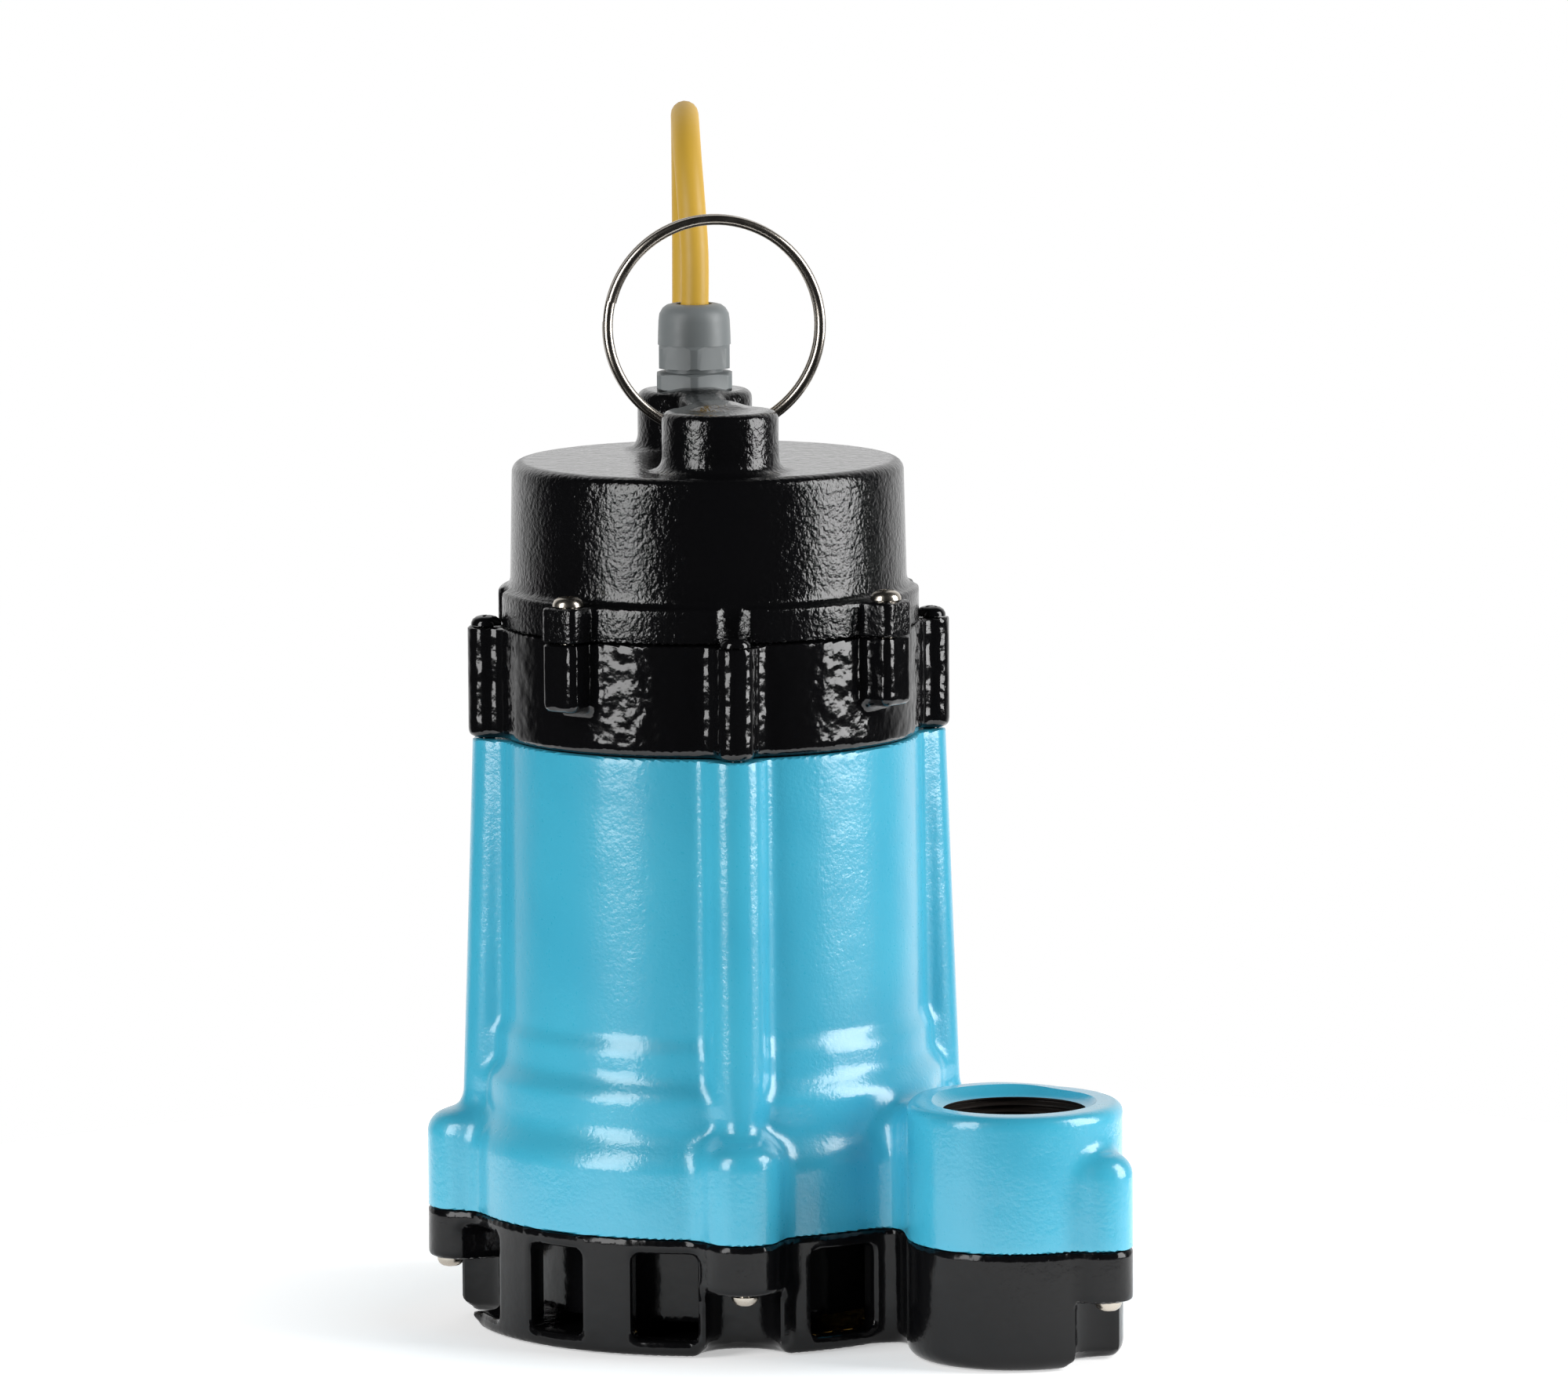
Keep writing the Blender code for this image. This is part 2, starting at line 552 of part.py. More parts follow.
# The cord's free stretch from the gland to the top of the coil: aside, behind, height
CORD_ROUTE = (
    (0, 0, CORD_START_Z), (0, 0, 302), (0.2, 0, 315), (0.4, 0.6, 328), (-0.6, 5.8, 344), (-1.6, 16.5, 359),
    (-2.2, 30, 368), (-2.5, 43, 371), (-2.5, 56, 367.5), (-2.5, 69, 358), (-2.5, 78.5, 343),
    (-2.5, 82.8, 325), (-2.7, 83.6, 300), (-3.2, 83.5, 265), (-4.5, 83, 220), (-7, 82, 175),
    (-9.7, 81, 133), (-11.5, 80.2, 100), (-11.3, 79.8, 77), (-6.8, 79.5, 58), (3.2, 79.4, 43),
    (15.2, 79.3, 34))


def smooth_through(points, spacing):
    """Points about spacing apart on a smooth curve through the given ones."""
    knots = [Vector(p) for p in points]
    knots = [knots[0] * 2 - knots[1], *knots, knots[-1] * 2 - knots[-2]]
    found = []
    for a, b, c, d in zip(knots, knots[1:], knots[2:], knots[3:]):
        steps = max(1, round((c - b).length / spacing))
        for i in range(steps):
            t = i / steps
            found.append(((b * 2) + (c - a) * t + (a * 2 - b * 5 + c * 4 - d) * t * t
                          + (b * 3 - a - c * 3 + d) * t ** 3) / 2)
    return [*found, knots[-2]]


def coil_point(radius, degrees, z):
    """A point in the coil's own frame: its angle is 0 aside of the coil, and -90 on the side by the pump."""
    angle = math.radians(degrees)
    return cord_point(COIL_ASIDE + radius * math.cos(angle), COIL_BEHIND + radius * math.sin(angle), z)


def tail_point(share):
    """A point on the tail, which leaves the coil's outermost bottom turn and rises to the plug."""
    radius = TAIL_START[0] + (TAIL_END[0] - TAIL_START[0]) * share * share * (3 - 2 * share)
    angle = TAIL_START[1] + (TAIL_END[1] - TAIL_START[1]) * share
    rise = max(share - 0.35, 0.0) / 0.65
    low = CORD_DIAMETER / 2
    return coil_point(radius, angle, low + (PLUG_AXIS_Z - low) * rise * rise * (3 - 2 * rise))


def make_cord():
    radius = CORD_DIAMETER / 2
    route = [cord_point(*point) for point in CORD_ROUTE]
    tube("cord_rise", YELLOW_JACKET, smooth_through(route, 2.2 * CORD_DIAMETER), radius)
    outside = COIL_MIDDLE + COIL_COLUMNS * CORD_DIAMETER / 2
    inside = COIL_MIDDLE - COIL_COLUMNS * CORD_DIAMETER / 2
    centre = cord_point(COIL_ASIDE, COIL_BEHIND, 0) * MM
    coil = ring("cord_coil", YELLOW_JACKET, inside, outside, GAP, COIL_TOP, 32, bevel=2.5)
    coil.location = (centre.x, centre.y, 0)
    shares = [0.99 * i / 12 for i in range(13)]
    clear = [s for s in shares if tail_radius(s) - radius > outside + GAP]
    tube("cord_tail", YELLOW_JACKET, [tail_point(s) for s in clear], radius)
    at = polar(HANDLE_POST_OFFSET, HANDLE_ANGLE + 180)
    tube("cord_entry", YELLOW_JACKET, [(at.x, at.y, 262.5), (at.x, at.y, CORD_START_Z - 2 * GAP)], radius)


def tail_radius(share):
    point = tail_point(share) - cord_point(COIL_ASIDE, COIL_BEHIND, 0)
    return math.hypot(point.x, point.y)


def make_tie():
    """A strap round the coil's section, holding its turns together."""
    outside = COIL_MIDDLE + COIL_COLUMNS * CORD_DIAMETER / 2
    inside = COIL_MIDDLE - COIL_COLUMNS * CORD_DIAMETER / 2
    place = Matrix.Translation(coil_point(0, 0, 0) * MM) @ Matrix.Rotation(
        math.radians(CORD_HEADING - 90 + 150), 4, "Z")
    strap = box("coil_tie", RUBBER, (inside - 2.2, -3, 0.5), (outside + 1.8, 3, COIL_TOP + 1.5))
    strap.matrix_world = place
    window = box("coil_tie_window", None, (inside - 1.0, -5, -3), (outside + 0.6, 5, COIL_TOP + GAP))
    window.matrix_world = place
    return cut(strap, window)


def make_plug():
    end = tail_point(1.0)
    ahead = (end - tail_point(0.98))
    ahead.z = 0.0
    heading = math.atan2(ahead.y, ahead.x)
    place = Matrix.Translation(end * MM) @ Matrix.Rotation(heading, 4, "Z")
    upright = Matrix.Rotation(math.pi / 2, 4, "Y")
    body = turned("plug_body", RUBBER, [
        (0, 52), (12.4, 52), (13.6, 50), (13.8, 28), (11, 22), (7.0, 18), (6.2, 2), (5.6, GAP), (0, GAP)], 24,
        closed=False, matrix=place @ upright)
    flat = 12.0
    for sign in (-1, 1):
        low, high = sorted((sign * flat, sign * (flat + 10)))
        side = box(f"plug_flat_{'low' if sign < 0 else 'high'}", None, (-5, -20, low), (60, 20, high))
        side.matrix_world = place
        cut(body, side)
    for name, offset in (("plug_blade_1", 6.35), ("plug_blade_2", -6.35)):
        blade = box(name, BRASS, (52 + GAP, offset - 0.75, BLADE_Z - 3.2), (68, offset + 0.75, BLADE_Z + 3.2))
        blade.matrix_world = place
    pin = cylinders("plug_ground_pin", BRASS, [(PIN_BELOW, 0)], 2.4, 52 + GAP, 71, 12)
    pin.matrix_world = place @ upright
    return body


# --- Motor and wet end ------------------------------------------------------------------------------------

def make_shaft():
    return turned("motor_shaft", STAINLESS, [
        (0, SHAFT_TOP), (6.4, SHAFT_TOP), (7.2, SHAFT_TOP - 1), (7.2, 188.5), (9.1, 188.5), (9.1, 91),
        (8.2, 91), (8.2, 66), (7.6, 66), (7.6, 55), (6.2, 55), (6.2, 40.6), (3.9, 40.6), (3.9, 35), (0, 35)],
        16, closed=False)


def make_impeller():
    hub = turned("impeller", IRON, [
        (IMPELLER_RADIUS, 53), (IMPELLER_RADIUS, 50), (13, 48.5), (11.5, 40.6), (6.5, 40.6), (6.5, 54.6),
        (12, 54.6), (13, 53)], 32)
    for i in range(VANES):
        turn = Matrix.Rotation(2 * math.pi * i / VANES, 4, "Z")
        lean = Matrix.Translation((9.5, 0, 0)) @ Matrix.Rotation(math.radians(28), 4, "Z")
        join(hub, box(f"impeller_vane_{i + 1}", None, (0, -2.0, 40.6), (36.0, 2.0, 50.8), turn @ lean))
    return hub


def make_stator():
    points = []
    pitch = 360 / SLOTS
    for i in range(SLOTS):
        middle = i * pitch
        # The tooth face at the bore, the slot's narrow mouth, and the slot's wide back
        for radius, offset in ((31.2, -12.6), (31.2, -4.2), (31.2, 4.2), (31.2, 12.6), (33.6, 12.8),
                               (34.2, 8.4), (46.5, 10.2), (46.5, 15.0), (46.5, 19.8), (34.2, 21.6),
                               (33.6, 17.2)):
            points.append(polar(radius, middle + offset))
    profile = [tuple(point[:2]) for point in points]
    slots = outline("stator_bore", None, profile, STACK_BOTTOM - 5, STACK_TOP + 5)
    core = ring("stator_core", SILICON_STEEL, 15.0, STATOR_RADIUS, STACK_BOTTOM, STACK_TOP, 40)
    return cut(core, slots)


def make_motor():
    make_stator()
    for name, low, high in (("winding_lower", 88.0, STACK_BOTTOM - GAP),
                            ("winding_upper", STACK_TOP + GAP, 180.0)):
        middle = (low + high) / 2
        turned(name, COPPER, [(50, high), (54, middle), (50, low), (39, low), (36, middle), (39, high)], 28)
    ring("rotor_core", SILICON_STEEL, 9.4, ROTOR_RADIUS, STACK_BOTTOM, STACK_TOP, 28)
    ring("rotor_end_ring_lower", ALUMINIUM, 16, 29, 96.5, STACK_BOTTOM - GAP, 28)
    ring("rotor_end_ring_upper", ALUMINIUM, 16, 29, STACK_TOP + GAP, 171.5, 28)
    turn = Matrix.Rotation(math.radians(105), 4, "Z")
    protector = box("thermal_protector", WIRE_BLACK, (39, -10, 180.3), (51, 10, 185.2), turn)
    bevel = protector.modifiers.new("edges", "BEVEL")
    bevel.width = 0.8 * MM
    bevel.segments = 1


def make_bearing(name, size):
    """Two races and a caged set of balls between them."""
    bottom, width = size["bottom"], size["width"]
    top = bottom + width
    inner, outer = size["bore"] / 2, size["outside"] / 2
    pitch = (inner + outer) / 2
    ball = 0.26 * (outer - inner)
    step = 0.66 * ball
    ring(name + "_outer_race", BEARING_STEEL, pitch + ball + GAP, outer, bottom, top, 24)
    ring(name + "_inner_race", BEARING_STEEL, inner, pitch - ball - GAP, bottom, top, 20)
    middle = (bottom + top) / 2
    cage = ring(name + "_balls", BEARING_STEEL, pitch - 0.8, pitch + 0.8, middle - step, middle + step, 24)
    for i in range(size["balls"]):
        shape = bmesh.new()
        bmesh.ops.create_uvsphere(shape, u_segments=7, v_segments=4, radius=ball,
                                  matrix=Matrix.Translation(polar(pitch, 360 * i / size["balls"], middle)))
        join(cage, from_bmesh(f"{name}_ball_{i}", shape, None))


def make_seal():
    ring("seal_seat", CERAMIC, 9.6, 16.0, 67.0, 73.6, 24, bevel=0.6)
    ring("seal_head", RUBBER, 8.6, 13.5, 60.2, 66.7, 20, bevel=0.6)
    points = []
    turns, per_turn, radius = 3.0, 10, 9.9
    low, high = 56.0, 59.0
    for i in range(int(turns * per_turn) + 1):
        share = i / (turns * per_turn)
        points.append(polar(radius, 360 * i / per_turn, low + (high - low) * share))
    return tube("seal_spring", STAINLESS, points, 0.35, 1)


def make_wet_end():
    make_impeller()
    nut = outline("impeller_nut", BRASS, hexagon(15, (0, 0)), 35.4, 40.3)
    cut(nut, cylinders("impeller_nut_bore", None, [(0, 0)], 4.2, 30, 45, 16))
    make_seal()


def make_seals():
    for name, inner, outer, bottom in (("housing_o_ring", 60.7, 63.1, BRACKET_BOTTOM - 2.3),
                                       ("cap_o_ring", 60.5, 62.9, CAP_BOTTOM - 2.3)):
        ring(name, RUBBER, inner, outer, bottom, bottom + 1.95)


def make_capacitor():
    place = Matrix.Translation((-26 * MM, 0, 233 * MM)) @ Matrix.Rotation(math.pi / 2, 4, "X")
    turned("run_capacitor", GREY_CAN, [
        (0, 29), (14.5, 29), (16, 27.5), (16, -27.5), (14.5, -29), (0, -29)], 24, closed=False, matrix=place)
    strap = ring("capacitor_strap", STAINLESS, 16.3, 17.6, -6, 6, 24)
    strap.matrix_world = place
    foot = box("capacitor_strap_foot", None, (-26 - 3, -6, 250), (-26 + 3, 6, 261.6))
    return join(strap, foot)


def make_leads():
    at = polar(HANDLE_POST_OFFSET, HANDLE_ANGLE + 180)
    for name, finish, aside, finish_at in (("lead_live", WIRE_BLACK, -2.2, (-35, 37, 240)),
                                           ("lead_neutral", WIRE_WHITE, 0.0, (-24, 41, 230)),
                                           ("lead_earth", WIRE_GREEN, 2.2, (-10, 43, 238))):
        start = Vector((at.x + aside * 1.2, at.y, 261.8))
        finish_point = Vector(finish_at)
        halfway = start.lerp(finish_point, 0.5) + Vector((0, 5, -6))
        bend = [start, start - Vector((0, 0, 7)), halfway, finish_point]
        tube(name, finish, smooth_through(bend, 6.0), 0.95, 1)


make_base()
make_housing()
make_bracket()
make_cap()
make_screws()
make_lift_ring()
make_gland()
make_cord()
make_tie()
make_plug()
make_shaft()
make_motor()
make_wet_end()
make_bearing("lower_bearing", LOWER_BEARING)
make_bearing("upper_bearing", UPPER_BEARING)
make_seals()
make_capacitor()
make_leads()
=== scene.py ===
"""Looks of the submersible sump pump: castings, fittings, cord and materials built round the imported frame.

Shapes are worked out in millimetres and become metres when a mesh or a curve is made. +Z is the shaft axis,
pointing up, and +X points from the shaft to the discharge.
"""

import json
import math

import bmesh
import bpy
import numpy as np
from mathutils import Matrix, Vector


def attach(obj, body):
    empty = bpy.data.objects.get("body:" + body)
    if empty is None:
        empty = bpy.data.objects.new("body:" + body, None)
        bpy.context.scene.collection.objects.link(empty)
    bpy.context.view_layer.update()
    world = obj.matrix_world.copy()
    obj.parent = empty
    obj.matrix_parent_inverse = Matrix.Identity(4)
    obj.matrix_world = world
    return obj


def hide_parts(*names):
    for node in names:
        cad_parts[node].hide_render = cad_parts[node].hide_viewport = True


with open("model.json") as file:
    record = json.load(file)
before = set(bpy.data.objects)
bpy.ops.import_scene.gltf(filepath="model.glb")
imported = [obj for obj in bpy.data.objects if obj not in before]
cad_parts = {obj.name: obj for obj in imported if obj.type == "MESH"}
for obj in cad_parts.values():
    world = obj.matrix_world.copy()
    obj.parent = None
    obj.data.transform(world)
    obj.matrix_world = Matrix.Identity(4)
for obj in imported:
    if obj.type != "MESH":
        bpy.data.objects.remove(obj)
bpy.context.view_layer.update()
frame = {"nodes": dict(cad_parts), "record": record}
MM = 0.001


def polar(radius, degrees, z=0.0):
    angle = math.radians(degrees)
    return Vector((radius * math.cos(angle), radius * math.sin(angle), z))


def add_object(name, data):
    thing = bpy.data.objects.new(name, data)
    bpy.context.scene.collection.objects.link(thing)
    return thing


# --- Camera -----------------------------------------------------------------------------------------------

CAMERA_AZIMUTH = 37.976
CAMERA_ELEVATION = 7.328
CAMERA_DISTANCE = 3.397
CAMERA_ROLL = -0.377
CAMERA_TARGET_RIGHT = 0.023254  # the target stands this far to the camera's right of the shaft
CAMERA_TARGET_HEIGHT = 0.1943
CAMERA_LENS = 250.1
CAMERA_SENSOR = 36.0


def make_camera():
    azimuth, elevation = math.radians(CAMERA_AZIMUTH), math.radians(CAMERA_ELEVATION)
    back = Vector((math.sin(azimuth) * math.cos(elevation), -math.cos(azimuth) * math.cos(elevation),
                   math.sin(elevation)))
    right = Vector((math.cos(azimuth), math.sin(azimuth), 0))
    up = back.cross(right)
    target = right * CAMERA_TARGET_RIGHT + Vector((0, 0, CAMERA_TARGET_HEIGHT))
    axes = Matrix((right, up, back)).transposed().to_4x4()
    data = bpy.data.cameras.new("camera")
    data.lens = CAMERA_LENS
    data.sensor_width = CAMERA_SENSOR
    camera = add_object("camera", data)
    camera.matrix_world = (Matrix.Translation(target + back * CAMERA_DISTANCE) @ axes
                           @ Matrix.Rotation(math.radians(CAMERA_ROLL), 4, "Z"))
    bpy.context.scene.camera = camera


make_camera()

# --- Materials --------------------------------------------------------------------------------------------


class Finish:
    """A material under construction: its shader, with helpers for procedural detail."""

    def __init__(self, name, colour, roughness, metallic=0.0, coat=0.0, coat_roughness=0.05):
        self.material = bpy.data.materials.new(name)
        self.material.use_nodes = True
        self.tree = self.material.node_tree
        self.shader = self.tree.nodes["Principled BSDF"]
        self.set(**{"Base Color": (*colour, 1.0), "Roughness": roughness, "Metallic": metallic,
                    "Coat Weight": coat, "Coat Roughness": coat_roughness})
        self.coordinates = self.tree.nodes.new("ShaderNodeTexCoord").outputs["Object"]
        self.normal = None

    def set(self, **values):
        for key, value in values.items():
            self.shader.inputs[key].default_value = value

    def noise(self, size, detail=2.0, roughness=0.5, stretch=(1, 1, 1)):
        """Noise whose grains are about size millimetres across."""
        mapping = self.tree.nodes.new("ShaderNodeMapping")
        mapping.inputs["Scale"].default_value = stretch
        node = self.tree.nodes.new("ShaderNodeTexNoise")
        node.inputs["Scale"].default_value = 1000.0 / size
        node.inputs["Detail"].default_value = detail
        node.inputs["Roughness"].default_value = roughness
        self.tree.links.new(self.coordinates, mapping.inputs["Vector"])
        self.tree.links.new(mapping.outputs["Vector"], node.inputs["Vector"])
        return node.outputs["Fac"]

    def ramp(self, value, low, high, to_low=0.0, to_high=1.0):
        node = self.tree.nodes.new("ShaderNodeMapRange")
        limits = {"From Min": low, "From Max": high, "To Min": to_low, "To Max": to_high}
        for socket, number in limits.items():
            node.inputs[socket].default_value = number
        self.tree.links.new(value, node.inputs["Value"])
        return node.outputs["Result"]

    def product(self, a, b):
        node = self.tree.nodes.new("ShaderNodeMath")
        node.operation = "MULTIPLY"
        self.tree.links.new(a, node.inputs[0])
        self.tree.links.new(b, node.inputs[1])
        return node.outputs["Value"]

    def bump(self, height, distance):
        """Adds relief that is distance millimetres high to all the shader's layers."""
        node = self.tree.nodes.new("ShaderNodeBump")
        node.inputs["Distance"].default_value = distance * MM
        self.tree.links.new(height, node.inputs["Height"])
        if self.normal is not None:
            self.tree.links.new(self.normal, node.inputs["Normal"])
        self.normal = node.outputs["Normal"]
        self.tree.links.new(self.normal, self.shader.inputs["Normal"])
        self.tree.links.new(self.normal, self.shader.inputs["Coat Normal"])

    def vary(self, socket, value):
        self.tree.links.new(value, self.shader.inputs[socket])

    def tint(self, value, low, high):
        """Runs the base colour from low to high as the value goes from 0 to 1."""
        node = self.tree.nodes.new("ShaderNodeMix")
        node.data_type = "RGBA"
        node.inputs["A"].default_value = (*low, 1.0)
        node.inputs["B"].default_value = (*high, 1.0)
        self.tree.links.new(value, node.inputs["Factor"])
        self.tree.links.new(node.outputs["Result"], self.shader.inputs["Base Color"])


def blue_enamel():
    """Gloss enamel over a cast skin: fine orange peel, shallow waves and a little unevenness of colour."""
    finish = Finish("blue_enamel", (0.05, 0.42, 0.60), 0.3, coat=0.6, coat_roughness=0.1)
    finish.bump(finish.noise(14.0, 1.0), 0.22)
    peel = finish.noise(1.5, 2.5, 0.6)
    finish.bump(finish.product(peel, finish.ramp(finish.noise(22.0, 2.0), 0.35, 0.65, 0.5, 1.0)), 0.11)
    uneven = finish.ramp(finish.noise(45.0, 2.0), 0.3, 0.7)
    finish.tint(uneven, (0.045, 0.395, 0.575), (0.057, 0.445, 0.625))
    finish.vary("Roughness", finish.ramp(peel, 0.3, 0.7, 0.27, 0.33))
    return finish.material


def black_enamel(name, wave, wave_height, grain, height, roughness, gloss=0.5):
    """Thick black gloss over cast iron. Its waves and finer grain have sizes and heights in millimetres."""
    finish = Finish(name, (0.0035, 0.0035, 0.004), roughness)
    finish.set(**{"Specular IOR Level": gloss})
    finish.bump(finish.noise(wave, 1.5), wave_height)
    peel = finish.noise(grain, 2.5, 0.55)
    finish.bump(peel, height)
    finish.vary("Roughness", finish.ramp(peel, 0.3, 0.7, roughness * 0.8, roughness * 1.25))
    return finish.material


def plain(name, colour, roughness, metallic=0.0, size=2.0, depth=0.01):
    """A material with a faint grain of size and depth millimetres in its relief and its gloss."""
    finish = Finish(name, colour, roughness, metallic)
    grain = finish.noise(size, 2.0)
    if depth:
        finish.bump(grain, depth)
    finish.vary("Roughness", finish.ramp(grain, 0.2, 0.8, max(roughness - 0.06, 0.02), roughness + 0.06))
    return finish.material


BLUE = blue_enamel()
BLACK_BASE = black_enamel("black_enamel_base", 7.0, 0.2, 1.6, 0.05, 0.14, 0.3)
BLACK_BRACKET = black_enamel("black_enamel_bracket", 5.5, 0.45, 1.6, 0.04, 0.09)
BLACK_CAP = black_enamel("black_enamel_cap", 6.0, 0.2, 1.5, 0.26, 0.13)
BORE_METAL = plain("bored_iron", (0.035, 0.028, 0.024), 0.4, 0.6)
STAINLESS = plain("stainless_steel", (0.56, 0.51, 0.44), 0.25, 1.0)
WIRE_STEEL = plain("lift_ring_steel", (0.50, 0.46, 0.41), 0.24, 1.0, 6.0, 0.0)
NYLON = plain("grey_nylon", (0.205, 0.225, 0.23), 0.45)
JACKET = plain("yellow_jacket", (0.66, 0.40, 0.045), 0.5)
RUBBER = plain("black_rubber", (0.015, 0.015, 0.015), 0.6)
BRASS = plain("brass", (0.62, 0.44, 0.17), 0.3, 1.0)

# The finishes of the CAD solids that stay as they are, by their slots in the record
SLOT_FINISHES = {
    "blue_enamel": BLUE,
    "black_enamel": BLACK_BASE,
    "stainless": STAINLESS,
    "plated_wire": WIRE_STEEL,
    "grey_nylon": NYLON,
    "yellow_jacket": JACKET,
    "silicon_steel": plain("silicon_steel", (0.35, 0.35, 0.37), 0.4, 1.0),
    "copper": plain("enamelled_copper", (0.55, 0.22, 0.10), 0.35, 1.0, 1.0, 0.1),
    "aluminium": plain("cast_aluminium", (0.6, 0.6, 0.62), 0.38, 1.0, 1.5, 0.03),
    "bearing_steel": plain("bearing_steel", (0.6, 0.6, 0.6), 0.15, 1.0),
    "ceramic": plain("seal_ceramic", (0.7, 0.68, 0.62), 0.3),
    "black_rubber": RUBBER,
    "brass": BRASS,
    "grey_can": plain("aluminium_can", (0.4, 0.4, 0.4), 0.4, 1.0),
    "bare_iron": plain("bare_iron", (0.12, 0.12, 0.13), 0.55, 1.0, 1.2, 0.08),
    "black_plastic": plain("black_plastic", (0.01, 0.01, 0.01), 0.5),
    "lead_black": plain("lead_black", (0.01, 0.01, 0.01), 0.5),
    "lead_white": plain("lead_white", (0.8, 0.8, 0.78), 0.5),
    "lead_green": plain("lead_green", (0.02, 0.25, 0.05), 0.5),
}


def finish_cad_nodes():
    for part in frame["record"]["subparts"]:
        materials = frame["nodes"][part["node"]].data.materials
        materials.clear()
        materials.append(SLOT_FINISHES[part["material_slot"]])


finish_cad_nodes()

# --- Supply cord ------------------------------------------------------------------------------------------

CORD_SPACING = 6.0  # between points on the way down to the coil
TAIL_STEPS = 24
TUBE_RESOLUTION = 6
CORD_DIAMETER = 8.8
GLAND_AT = polar(34.0, 135)
GLAND_TOP = 314.8
CORD_HEADING = 128.44  # the direction in which the cord arches over and down
COIL_ASIDE = 29.2  # from the gland to the coil's middle, aside of that heading
COIL_BEHIND = 119.0  # and along it
COIL_MIDDLE = 48.5  # radius of the coil's middle column of turns
CORD_ROUTE = (  # points aside of the heading, along it, and above the floor
    (0, 0, 289), (0, 0, 302), (0.2, 0, 315), (0.3, 0.8, 330), (-0.6, 4.2, 345.5), (-1.6, 12.9, 359),
    (-2.2, 26.3, 367.8), (-2.5, 42, 371), (-2.5, 57.7, 367.8), (-2.5, 71, 359), (-2.5, 79.8, 345.5),
    (-2.5, 83.2, 328), (-2.7, 83.6, 300), (-3.2, 83.5, 265), (-4.5, 83, 220), (-7, 82, 175),
    (-10.2, 81, 133), (-12.5, 80.2, 100), (-12.2, 79.8, 77), (-7.5, 79.5, 55.5), (2.2, 79.4, 38),
    (15.2, 79.3, 26.4))
COIL_SLOTS = [(CORD_DIAMETER * (layer + 0.5), COIL_MIDDLE + CORD_DIAMETER * column)
              for layer, columns in ((2, (-1, 0, 1)), (1, (1, 0, -1)), (0, (-1, 0, 1))) for column in columns]
SLOT_TURN = 320.0  # a slot's turn before the cord has moved to the next slot
SLOT_SHIFT = 40.0  # how long that move takes
COIL_TURNING = 2820.0  # degrees from the coil's first point to the tail
COIL_STEP = 12.0  # degrees between the coil's points
TAIL_TURN = 88.0
TAIL_END_RADIUS = 76.0
PLUG_AXIS_Z = 12.3


def cord_point(aside, behind, z):
    """A point aside of and behind the gland, as seen along the cord's heading."""
    return GLAND_AT + polar(behind, CORD_HEADING) + polar(aside, CORD_HEADING - 90) + Vector((0, 0, z))


def coil_point(radius, degrees, z):
    angle = math.radians(degrees)
    return cord_point(COIL_ASIDE + radius * math.cos(angle), COIL_BEHIND + radius * math.sin(angle), z)


def smoothstep(share):
    share = min(max(share, 0.0), 1.0)
    return share * share * (3 - 2 * share)


def smooth_through(points, spacing):
    """Points about spacing apart on a smooth curve through the given ones."""
    knots = [Vector(p) for p in points]
    knots = [knots[0] * 2 - knots[1], *knots, knots[-1] * 2 - knots[-2]]
    found = []
    for a, b, c, d in zip(knots, knots[1:], knots[2:], knots[3:]):
        steps = max(1, round((c - b).length / spacing))
        for i in range(steps):
            t = i / steps
            found.append(((b * 2) + (c - a) * t + (a * 2 - b * 5 + c * 4 - d) * t * t
                          + (b * 3 - a - c * 3 + d) * t ** 3) / 2)
    return [*found, knots[-2]]


def coil_turns():
    """The coil from its top inner slot to its outer floor slot, each slot easing into the next."""
    points = []
    for step in range(int(COIL_TURNING / COIL_STEP) + 1):
        turned = step * COIL_STEP
        slot = min(int(turned // SLOT_TURN), len(COIL_SLOTS) - 1)
        ahead = smoothstep((turned - slot * SLOT_TURN - (SLOT_TURN - SLOT_SHIFT)) / SLOT_SHIFT)
        here, there = COIL_SLOTS[slot], COIL_SLOTS[min(slot + 1, len(COIL_SLOTS) - 1)]
        z, radius = (a + (b - a) * ahead for a, b in zip(here, there))
        points.append(coil_point(radius, turned - 90, z))
    return points


def tail_point(share):
    """A point on the tail, which leaves the coil's outermost bottom turn and rises to the plug."""
    low, radius = COIL_SLOTS[-1]
    rise = smoothstep((share - 0.35) / 0.65)
    return coil_point(radius + (TAIL_END_RADIUS - radius) * smoothstep(share),
                      COIL_TURNING - 90 + TAIL_TURN * share, low + (PLUG_AXIS_Z - low) * rise)


def wire(name, points, radius, finish):
    """A round wire. Its thickness is in the points' radii, which keeps the curve's bounding box true."""
    curve = bpy.data.curves.new(name, "CURVE")
    curve.dimensions = "3D"
    curve.bevel_depth = 1.0
    curve.bevel_resolution = TUBE_RESOLUTION
    curve.use_fill_caps = True
    spline = curve.splines.new("POLY")
    spline.points.add(len(points) - 1)
    for target, point in zip(spline.points, points):
        target.co = (*(point * MM), 1.0)
        target.radius = radius * MM
    curve.materials.append(finish)
    return add_object(name, curve)


def make_cord():
    coil = coil_turns()
    rise = smooth_through([cord_point(*point) for point in CORD_ROUTE] + coil[:1], CORD_SPACING)
    tail = [tail_point(i / TAIL_STEPS) for i in range(1, TAIL_STEPS + 1)]
    cord = wire("supply_cord", [*rise, *coil[1:], *tail], CORD_DIAMETER / 2, JACKET)
    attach(cord, "pump_body")
    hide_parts("cord_rise", "cord_coil", "cord_tail")


make_cord()

# --- Shapes from distance fields --------------------------------------------------------------------------
# A field takes arrays x, y and z and is negative inside the shape, so that unions can carry cast fillets.

